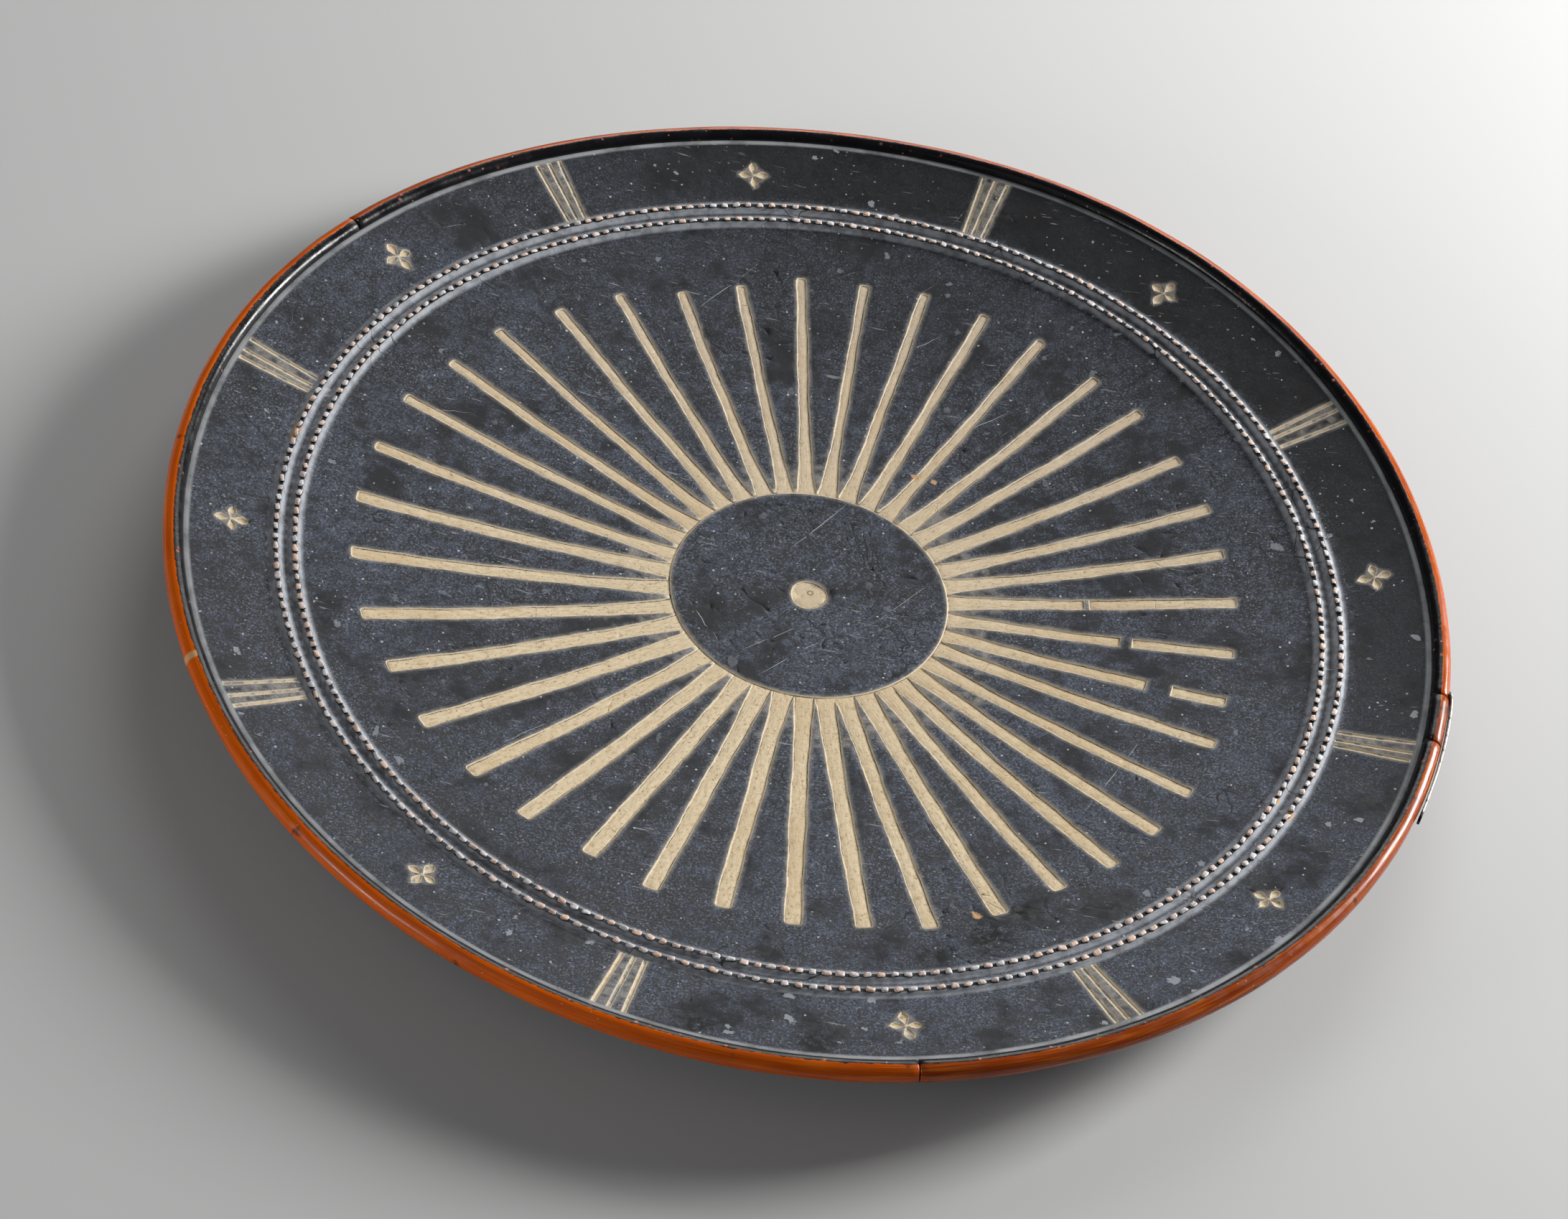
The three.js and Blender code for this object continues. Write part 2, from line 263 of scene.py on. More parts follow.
class Bowl:
    """Heights of the dished hide over its plan, in metres."""

    def __init__(self, sizes, ornament):
        self.sizes = sizes
        self.cane_radius = sizes.cane_diameter / 2
        self.cane_line = sizes.radius - self.cane_radius
        self.lip_start = self.cane_line - self.cane_radius - sizes.lip_shown
        self.lip_end = self.cane_line - sizes.lip_short
        self.seam_foot = ornament.seam_outer + ornament.seam_half
        self.middle = sizes.hide_thickness - self.bare(sizes.flat_spot)
        self.cane_height = self.middle + sizes.cane_above_middle
        self.lip = self.cane_height + sizes.lip_above

    def bare(self, radius):
        """Rise of the plain bowl above its middle."""
        return self.sizes.bowl_rise * (radius / self.sizes.radius) ** 2

    def border(self, radius):
        """How far out a radius lies between the outer seam, 0, and the lip, 1."""
        return np.clip((radius - self.seam_foot) / (self.lip_start - self.seam_foot), 0, 1)

    def face(self, radius):
        """Height of the face before seams and carving."""
        lift = self.lip - self.middle - self.bare(self.lip_start)
        height = self.middle + self.bare(radius) + lift * self.border(radius)
        return np.where(radius >= self.lip_start, self.lip, height)

    def back(self, radius):
        """Height of the back, level over the spot that it rests on."""
        border = self.border(radius)
        thickness = self.sizes.hide_thickness * (1 - border) + self.sizes.lip_thickness * border
        return np.maximum(0, self.face(radius) - thickness)

    def warp(self, points):
        """Points of the true bowl moved to the slightly warped one."""
        points = np.asarray(points, float)
        radius = np.hypot(points[:, 0], points[:, 1])
        turn = np.arctan2(points[:, 1], points[:, 0])
        flat = self.sizes.flat_spot ** 2
        share = np.maximum(0, (radius ** 2 - flat) / (self.sizes.radius ** 2 - flat))
        stretch = 1 + share * swell(RIM_OVALS, turn) * MM / self.sizes.radius
        lift = share * swell(RIM_SWELLS, turn) * MM
        return np.column_stack([points[:, 0] * stretch, points[:, 1] * stretch, points[:, 2] + lift])


class Carving:
    """Outlines of the carving, as distances from the nearest cut edge: below zero inside a cut."""

    def __init__(self, ornament):
        self.size = ornament
        rng = np.random.default_rng(SEED)
        count = ornament.ray_count
        even = math.degrees(ornament.first_ray) + 360 / count * np.arange(count)
        turn = even + swell(RAY_DRIFTS, np.radians(even)) + rng.uniform(-0.5, 0.5, count)
        self.ray_turn = np.radians(turn)
        short_turn, short_spread, shortfall = SHORT_RAYS
        reach = swell(RAY_REACHES, self.ray_turn)
        reach = reach - shortfall * np.exp(-((turn - short_turn) / short_spread) ** 2)
        self.ray_tip = ornament.ray_tip + (reach + rng.uniform(-2, 2, count)) * MM
        self.ray_width = ornament.ray_width - ornament.ray_swing * np.sin(self.ray_turn)
        self.ray_width = self.ray_width + rng.uniform(-0.4, 0.4, count) * MM
        self.ray_flare = ornament.ray_foot * rng.uniform(0.9, 1.02, count) - self.ray_width
        lean = 1.2 * np.sin(self.ray_turn - math.radians(-15))
        self.ray_lean = np.radians(lean + rng.uniform(-0.5, 0.5, count))
        self.ray_phase = rng.uniform(0, 2 * math.pi, (count, 2, 3))
        self.lines = []
        for turn in LINE_GROUP_TURNS:
            for number in (-1, 0, 1):
                wear = rng.uniform(0.1, 0.5)
                self.lines.append((math.radians(turn + rng.uniform(-0.25, 0.25)), number, wear))
        self.petals = []
        for turn in FLOWER_TURNS:
            tilt = rng.uniform(-0.12, 0.12)
            for petal in range(4):
                angle = petal * math.pi / 2 + tilt + rng.uniform(-0.1, 0.1)
                size = rng.uniform(0.88, 1.1) * (1.06 if petal % 2 == 0 else 0.92)
                self.petals.append((math.radians(turn), angle, size))

    def is_at(self, k, degrees):
        """Whether ray k is the one at a turn given in degrees."""
        return abs((math.degrees(self.ray_turn[k]) - degrees + 180) % 360 - 180) < SAME_RAY

    def ray_centre(self, k, along):
        """How far ray k has leant aside from its spoke."""
        return np.tan(self.ray_lean[k]) * (along - self.size.disc_radius) * 0.6

    def ray_half(self, k, along, side):
        """Half width of ray k on one side (0 left, 1 right), with the wobble of a hand-held knife."""
        flare = self.ray_flare[k] * np.exp(-(along - self.size.disc_radius) / self.size.ray_flare_run)
        wave = 0
        for phase, (run, height) in zip(self.ray_phase[k, side], KNIFE_WOBBLES):
            wave = wave + height * MM * np.sin(2 * math.pi * along / (run * MM) + phase)
        return (self.ray_width[k] + flare) / 2 + wave

    def ray_distance(self, k, along, across):
        """Distance from the edge of ray k, with its tip's corners rounded."""
        off = across - self.ray_centre(k, along)
        side = np.where(off > 0, off - self.ray_half(k, along, 0), -off - self.ray_half(k, along, 1))
        corner = self.size.ray_corner
        a = side + corner
        b = along - self.ray_tip[k] + corner
        return np.minimum(np.maximum(a, b), 0) + np.hypot(np.maximum(a, 0), np.maximum(b, 0)) - corner

    def line_half(self, along):
        """How far the outer lines of a group stand from its middle line."""
        share = (along - self.size.line_inside) / (self.size.line_outside - self.size.line_inside)
        return (LINE_GAP + LINE_SPLAY * share) * MM

    def petal_half(self, along, size):
        """Half width of a petal: a kite with slightly rounded sides."""
        share = along / (self.size.petal_length * size)
        return np.interp(share, *PETAL_OUTLINE) * self.size.petal_width * size / 2

    def distance(self, x, y):
        """Distance from the nearest cut edge, held to a few millimetres, and the wear of that cut."""
        size = self.size
        radius = np.hypot(x, y)
        turn = np.arctan2(y, x)
        best = np.full(x.shape, CUT_FAR)
        wear = np.zeros(x.shape)
        for k in range(size.ray_count):
            gap = np.abs((turn - self.ray_turn[k] + math.pi) % (2 * math.pi) - math.pi)
            reached = (radius > size.disc_radius - CUT_FAR) & (radius < self.ray_tip[k] + CUT_FAR)
            near = (gap < RAY_SPREAD) & reached
            c, s = math.cos(self.ray_turn[k]), math.sin(self.ray_turn[k])
            along, across = x[near] * c + y[near] * s, y[near] * c - x[near] * s
            d = self.ray_distance(k, along, across)
            for bridge, start, end in RAY_BRIDGES:
                if self.is_at(k, bridge):
                    d = np.maximum(d, np.minimum(along - start * MM, end * MM - along))
            best[near] = np.minimum(best[near], d)
        ring = radius - size.disc_radius - RING_WIDTH
        best = np.maximum(np.minimum(best, ring), size.disc_radius - radius)
        best = np.minimum(best, radius - size.dot_radius - 0.25 * MM * np.sin(3 * turn + 1))
        for line_turn, number, worn in self.lines:
            c, s = math.cos(line_turn), math.sin(line_turn)
            along, across = x * c + y * s, y * c - x * s
            side = np.abs(across - number * self.line_half(along)) - size.line_width / 2
            ends = np.maximum(size.line_inside - along, along - size.line_outside)
            d = np.maximum(side, ends)
            near = (d < best) & (along > 0)
            best[near] = d[near]
            wear[near] = worn
        for flower_turn, angle, petal in self.petals:
            c, s = math.cos(flower_turn), math.sin(flower_turn)
            out, side = x * c + y * s - size.flower_radius, y * c - x * s
            along = out * math.cos(angle) + side * math.sin(angle)
            across = np.abs(side * math.cos(angle) - out * math.sin(angle))
            reach = size.petal_length * petal
            ends = np.maximum(0.4 * MM - along, along - reach)
            d = np.maximum(across - self.petal_half(along, petal), ends)
            near = d < best
            best[near] = d[near]
            wear[near] = PETAL_WEAR
        return best, wear


class Plan:
    """Points and edges of the carved face in plan, gathered for one triangulation."""

    def __init__(self, reach):
        self.reach = reach
        self.points = []
        self.edges = []
        self.scratch = []
        self.crack = []

    def dots(self, points):
        """Adds loose points."""
        self.points.extend((float(x), float(y)) for x, y in points)
        self.scratch.extend([0.0] * len(points))
        self.crack.extend([0.0] * len(points))

    def line(self, points, closed=False, scratch=0.0, crack=0.0):
        """Adds points joined by edges, with the strength of the mark that they carry."""
        first = len(self.points)
        count = len(points)
        self.points.extend((float(x), float(y)) for x, y in points)
        self.scratch.extend([scratch] * count)
        self.crack.extend([crack] * count)
        self.edges.extend((first + i, first + i + 1) for i in range(count - 1))
        if closed:
            self.edges.append((first + count - 1, first))

    def stroke(self, points, width, scratch=0.0, crack=0.0):
        """A thin mark: a line at full strength between two lines at none."""
        points = np.asarray(points, float)
        if np.hypot(points[:, 0], points[:, 1]).max() > self.reach:
            return
        along = np.gradient(points, axis=0)
        along /= np.linalg.norm(along, axis=1)[:, None]
        aside = np.column_stack([-along[:, 1], along[:, 0]])
        taper = np.sin(np.linspace(0.15, math.pi - 0.15, len(points)))[:, None]
        self.line(points, scratch=scratch, crack=crack)
        for side in (-1, 1):
            self.line(points + side * aside * taper * width / 2)

    def ring(self, radius, count):
        """Adds a circle about the middle."""
        turn = 2 * math.pi * np.arange(count) / count
        self.line(np.column_stack([radius * np.cos(turn), radius * np.sin(turn)]), closed=True)


# Lines of the mesh beside a cut edge, and points round the rim of the hide.
CUT_OFFSETS = (0.5 * MM, 0.0, -0.4 * MM, -0.9 * MM)
EDGE_COUNT = 480


def polar(turn, out, across):
    """Plan points from distances out along a spoke and across it."""
    c, s = math.cos(turn), math.sin(turn)
    return np.column_stack([out * c - across * s, out * s + across * c])


def draw_cut_edges(plan, carving):
    """Lines along every cut edge and along the wall and groove inside it."""
    size = carving.size
    for k in range(size.ray_count):
        turn, tip = carving.ray_turn[k], carving.ray_tip[k]
        for offset in CUT_OFFSETS:
            start = size.disc_radius + 1.2 * MM
            along = np.arange(start, tip - size.ray_corner, RAY_STEP)
            left = carving.ray_centre(k, along) + carving.ray_half(k, along, 0) + offset
            right = carving.ray_centre(k, along) - carving.ray_half(k, along, 1) - offset
            round_ = max(size.ray_corner + offset, 0.3 * MM)
            inset = tip + offset - round_
            bend = np.radians([0, 30, 60, 90])
            centre = carving.ray_centre(k, tip)
            wide_left = carving.ray_half(k, tip, 0) + offset - round_
            wide_right = carving.ray_half(k, tip, 1) + offset - round_
            tip_out = np.concatenate([inset + round_ * np.sin(bend), inset + round_ * np.cos(bend)])
            tip_across = np.concatenate([
                centre + wide_left + round_ * np.cos(bend), centre - wide_right - round_ * np.sin(bend),
            ])
            out = np.concatenate([along, tip_out, along[::-1]])
            across = np.concatenate([left, tip_across, right[::-1]])
            plan.line(polar(turn, out, across))
        floor_out = np.arange(size.disc_radius + 3 * MM, tip - 2 * MM, 2.6 * MM)
        wander = np.array([noise.noise(Vector((out * 900, k * 7.1, 0))) for out in floor_out])
        plan.dots(polar(turn, floor_out, carving.ray_centre(k, floor_out) + wander * 1.2 * MM))
        for bridge, start, end in RAY_BRIDGES:
            if carving.is_at(k, bridge):
                for edge, way in ((start, -1), (end, 1)):
                    for offset in CUT_OFFSETS:
                        out = np.full(5, edge * MM - way * offset)
                        plan.line(polar(turn, out, np.linspace(-3.4, 3.4, 5) * MM))
    for offset in CUT_OFFSETS:
        plan.ring(size.disc_radius - offset, DISC_POINTS)
        plan.ring(size.dot_radius + offset, DOT_POINTS)
    for turn, number, _ in carving.lines:
        for side in (-1, 1):
            for offset in CUT_OFFSETS[:3]:
                along = np.linspace(size.line_inside - offset, size.line_outside + offset, 16)
                across = number * carving.line_half(along) + side * (size.line_width / 2 + offset)
                plan.line(polar(turn, along, across))
    for turn, angle, petal in carving.petals:
        share = np.array([0.06, 0.2, 0.35, 0.5, 0.62, 0.75, 0.87, 0.97])
        along = share * size.petal_length * petal
        for side in (-1, 1):
            for offset in CUT_OFFSETS[:3]:
                across = side * (carving.petal_half(along, petal) + offset)
                kite = polar(angle, along, across)
                plan.line(polar(turn, kite[:, 0] + size.flower_radius, kite[:, 1]))


def walk(rng, start, heading, steps, stride, turn_by):
    """A crooked line: each step turns a little from the last."""
    points = [np.array(start, float)]
    for _ in range(steps):
        heading += rng.normal(0, turn_by)
        points.append(points[-1] + stride * np.array([math.cos(heading), math.sin(heading)]))
    return points


def draw_marks(plan):
    """Scratches and cracks in the lacquer: a few long ones in their places, and many small ones."""
    rng = np.random.default_rng(SEED + 1)
    for start, end in LONG_SCRATCHES:
        share = np.linspace(0, 1, 9)[:, None]
        points = np.array(start) * (1 - share) + np.array(end) * share
        points += rng.normal(0, 0.25, points.shape)
        plan.stroke(points * MM, 0.75 * MM, scratch=rng.uniform(0.7, 1.0))
    for _ in range(SMALL_SCRATCHES):
        radius, turn = plan.reach * math.sqrt(rng.uniform(0, 1)), rng.uniform(0, 2 * math.pi)
        start = (radius * math.cos(turn), radius * math.sin(turn))
        heading = rng.choice([0.9, 1.1, -0.5, 2.4]) + rng.normal(0, 0.3)
        points = walk(rng, start, heading, 5, rng.uniform(0.6, 2.6) * MM, 0.05)
        plan.stroke(points, rng.uniform(0.35, 0.6) * MM, scratch=rng.uniform(0.25, 0.7))
    for i in range(BLACK_STROKES):
        start = np.array([8 + 3.0 * i + rng.uniform(-1, 1), 58 - 1.5 * i + rng.uniform(-3, 3)])
        end = start + np.array([9 + rng.uniform(-2, 2), -26 + rng.uniform(-8, 6)])
        share = np.linspace(0, 1, 8)[:, None]
        points = start * (1 - share) + end * share + rng.normal(0, 0.3, (8, 2))
        plan.stroke(points * MM, rng.uniform(0.9, 1.8) * MM, crack=1.0)
    for x, y, spread, count in CRACK_ZONES:
        for _ in range(count):
            start = np.array([x, y]) + rng.uniform(-spread, spread, 2)
            steps = int(rng.integers(4, 12))
            heading = rng.uniform(0, 2 * math.pi)
            points = np.array(walk(rng, start, heading, steps, rng.uniform(1.6, 4.2), 0.28))
            in_disc = x == 0 and y == 0
            leaves_disc = in_disc and np.hypot(points[:, 0], points[:, 1]).max() > 69
            if np.hypot(*start) < 11 or leaves_disc:
                continue
            plan.stroke(points * MM, rng.uniform(0.35, 0.7) * MM, crack=rng.uniform(0.5, 1.0))


def face_mesh(bowl, carving):
    """Vertices, triangles and marks of the carved face."""
    size = carving.size
    plan = Plan(bowl.lip_start - 6 * MM)
    plan.ring(bowl.lip_end, EDGE_COUNT)
    for inward in (-1, 0, 1, 3):
        plan.ring(bowl.lip_start - inward * MM, EDGE_COUNT)
    middle = (size.seam_inner + size.seam_outer) / 2
    shares = np.array([0.18, 0.3, 0.42, 0.55, 0.68, 0.82, 1.0]) * size.seam_half
    for seam in (size.seam_inner, size.seam_outer):
        for side in np.concatenate([-shares[::-1], [0], shares]):
            plan.ring(seam + side, SEAM_POINTS)
    plan.ring(middle, EDGE_COUNT)
    draw_cut_edges(plan, carving)
    draw_marks(plan)

    rng = np.random.default_rng(SEED + 2)
    rows = np.arange(-bowl.lip_end, bowl.lip_end, FACE_STEP * 0.866)
    columns = np.arange(-bowl.lip_end, bowl.lip_end, FACE_STEP)
    grid = [(x + (FACE_STEP / 2 if i % 2 else 0), y) for i, y in enumerate(rows) for x in columns]
    grid = np.array(grid) + rng.uniform(-0.9, 0.9, (len(grid), 2)) * MM
    radius = np.hypot(grid[:, 0], grid[:, 1])
    cut, _ = carving.distance(grid[:, 0], grid[:, 1])
    off_seams = np.abs(radius - middle) > 9.2 * MM
    plan.dots(grid[(np.abs(cut) > 1.4 * MM) & off_seams & (radius < bowl.lip_start - 4 * MM)])

    flat = [Vector(point) for point in plan.points]
    corners, _, triangles, sources, _, _ = delaunay_2d_cdt(flat, plan.edges, [], 0, 1e-6, True)
    xy = np.array([tuple(corner) for corner in corners])
    scratch, crack = (
        np.array([max((strength[i] for i in ids), default=0.0) for ids in sources])
        for strength in (plan.scratch, plan.crack)
    )
    return xy, triangles, scratch, crack


def spot_distance(xy, turn, radius, reach):
    """Distance from a spot's middle, as a share of the spot's reach."""
    x = radius * MM * math.cos(math.radians(turn))
    y = radius * MM * math.sin(math.radians(turn))
    return np.hypot(xy[:, 0] - x, xy[:, 1] - y) / (reach * MM)


def spots(xy, places):
    """Strength of round spots, fading from their middles."""
    total = np.zeros(len(xy))
    for place in places:
        total = np.maximum(total, np.clip(1.6 - 1.6 * spot_distance(xy, *place), 0, 1))
    return total


def face_heights(bowl, carving, xy, scratch, crack):
    """Heights of the face with its seams, carving, marks and the unevenness of a dried hide."""
    size = carving.size
    radius = np.hypot(xy[:, 0], xy[:, 1])
    cut, wear = carving.distance(xy[:, 0], xy[:, 1])
    height = bowl.face(radius)
    seam = np.minimum(np.abs(radius - size.seam_inner), np.abs(radius - size.seam_outer))
    height = height + size.seam_height * (1 - smooth(size.seam_crest, size.seam_half, seam))
    depth = size.cut_depth
    profile = np.interp(
        cut, np.array([-1.2, -0.9, -0.4, 0, 0.5]) * MM,
        [-0.82 * depth, -0.86 * depth, -depth, -0.12 * depth, 0],
    )
    height = height + profile * np.where(radius > bowl.seam_foot, BORDER_CUT_SHARE, 1.0)
    rough = np.array([noise.fractal(Vector((x * 60, y * 60, 3)), 1.0, 2.0, 3) for x, y in xy])
    fibre = np.array([noise.noise(Vector((x * 420, y * 420, 9))) for x, y in xy])
    height = height + np.where(radius < bowl.lip_start, FACE_UNEVEN * rough, 0)
    height = height + np.where(cut < -0.6 * MM, FIBRE_UNEVEN * fibre, 0)
    height = height - SCRATCH_DEPTH * scratch - CRACK_DEPTH * crack
    for turn, place, reach in CHIPS:
        height = height - CHIP_DEPTH * np.clip(1 - spot_distance(xy, turn, place, reach), 0, 1)
    return height, cut, wear, seam, radius


def back_mesh(bowl):
    """Rings of the plain back, from the edge of the lip to the middle."""
    radii = np.concatenate([
        [bowl.lip_end, bowl.lip_end - 3 * MM, bowl.lip_start],
        np.linspace(bowl.lip_start, bowl.seam_foot, 8)[1:],
        np.linspace(bowl.seam_foot, bowl.sizes.flat_spot + 2 * MM, 22)[1:],
        np.array([1.0, 0.8, 0.5, 0.2]) * bowl.sizes.flat_spot,
    ])
    turn = 2 * math.pi * np.arange(EDGE_COUNT) / EDGE_COUNT
    rings = []
    for radius in radii:
        height = np.full(EDGE_COUNT, float(bowl.back(radius)))
        if bowl.sizes.flat_spot < radius < bowl.lip_start - 1 * MM:
            places = [(radius * 18 * math.cos(t), radius * 18 * math.sin(t), 5) for t in turn]
            height = height + BACK_UNEVEN * np.array([noise.fractal(Vector(p), 1, 2, 3) for p in places])
        rings.append(np.column_stack([radius * np.cos(turn), radius * np.sin(turn), height]))
    points = np.concatenate(rings + [[[0, 0, 0]]])
    faces = []
    for i in range(len(radii) - 1):
        for j in range(EDGE_COUNT):
            k = (j + 1) % EDGE_COUNT
            a, b = i * EDGE_COUNT, (i + 1) * EDGE_COUNT
            faces.append((a + j, b + j, b + k, a + k))
    last = (len(radii) - 1) * EDGE_COUNT
    faces += [(last + j, len(points) - 1, last + (j + 1) % EDGE_COUNT) for j in range(EDGE_COUNT)]
    return points, faces


def new_piece(name, points, faces, material):
    """A smooth-shaded mesh object at the origin."""
    mesh = bpy.data.meshes.new(name)
    mesh.from_pydata([tuple(p) for p in points], [], [tuple(f) for f in faces])
    mesh.shade_smooth()
    mesh.materials.append(material)
    piece = bpy.data.objects.new(name, mesh)
    bpy.context.scene.collection.objects.link(piece)
    return piece


def store(piece, name, values):
    """One number for each vertex, for the piece's material to read."""
    data = piece.data.attributes.new(name, "FLOAT", "POINT").data
    data.foreach_set("value", np.asarray(values, np.float32))


def hand_over(piece, slot, *nodes):
    """Ties a finished piece to the frame."""
    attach(piece, "root")
    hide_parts(*nodes)


def add(tree, kind, links=None, **settings):
    """Adds a node, sets it, and links or fills its inputs; a node given to one lends its first output."""
    node = tree.nodes.new(kind)
    for key, value in settings.items():
        setattr(node, key, value)
    for key, value in (links or {}).items():
        socket = node.inputs[key]
        if isinstance(value, bpy.types.Node):
            value = next(output for output in value.outputs if output.enabled)
        if isinstance(value, bpy.types.NodeSocket):
            tree.links.new(value, socket)
        else:
            socket.default_value = value
    return node


def per_mm(size):
    """Pattern scale for features of a real size in millimetres."""
    return 1 / (size * MM)


def new_material(name):
    """A material with an empty node tree, and that tree."""
    material = bpy.data.materials.new(name)
    material.use_nodes = True
    tree = material.node_tree
    tree.nodes.clear()
    return material, tree


MIX, MATH, RAMP = "ShaderNodeMix", "ShaderNodeMath", "ShaderNodeMapRange"
NOISE, VORONOI, PRINCIPLED = "ShaderNodeTexNoise", "ShaderNodeTexVoronoi", "ShaderNodeBsdfPrincipled"


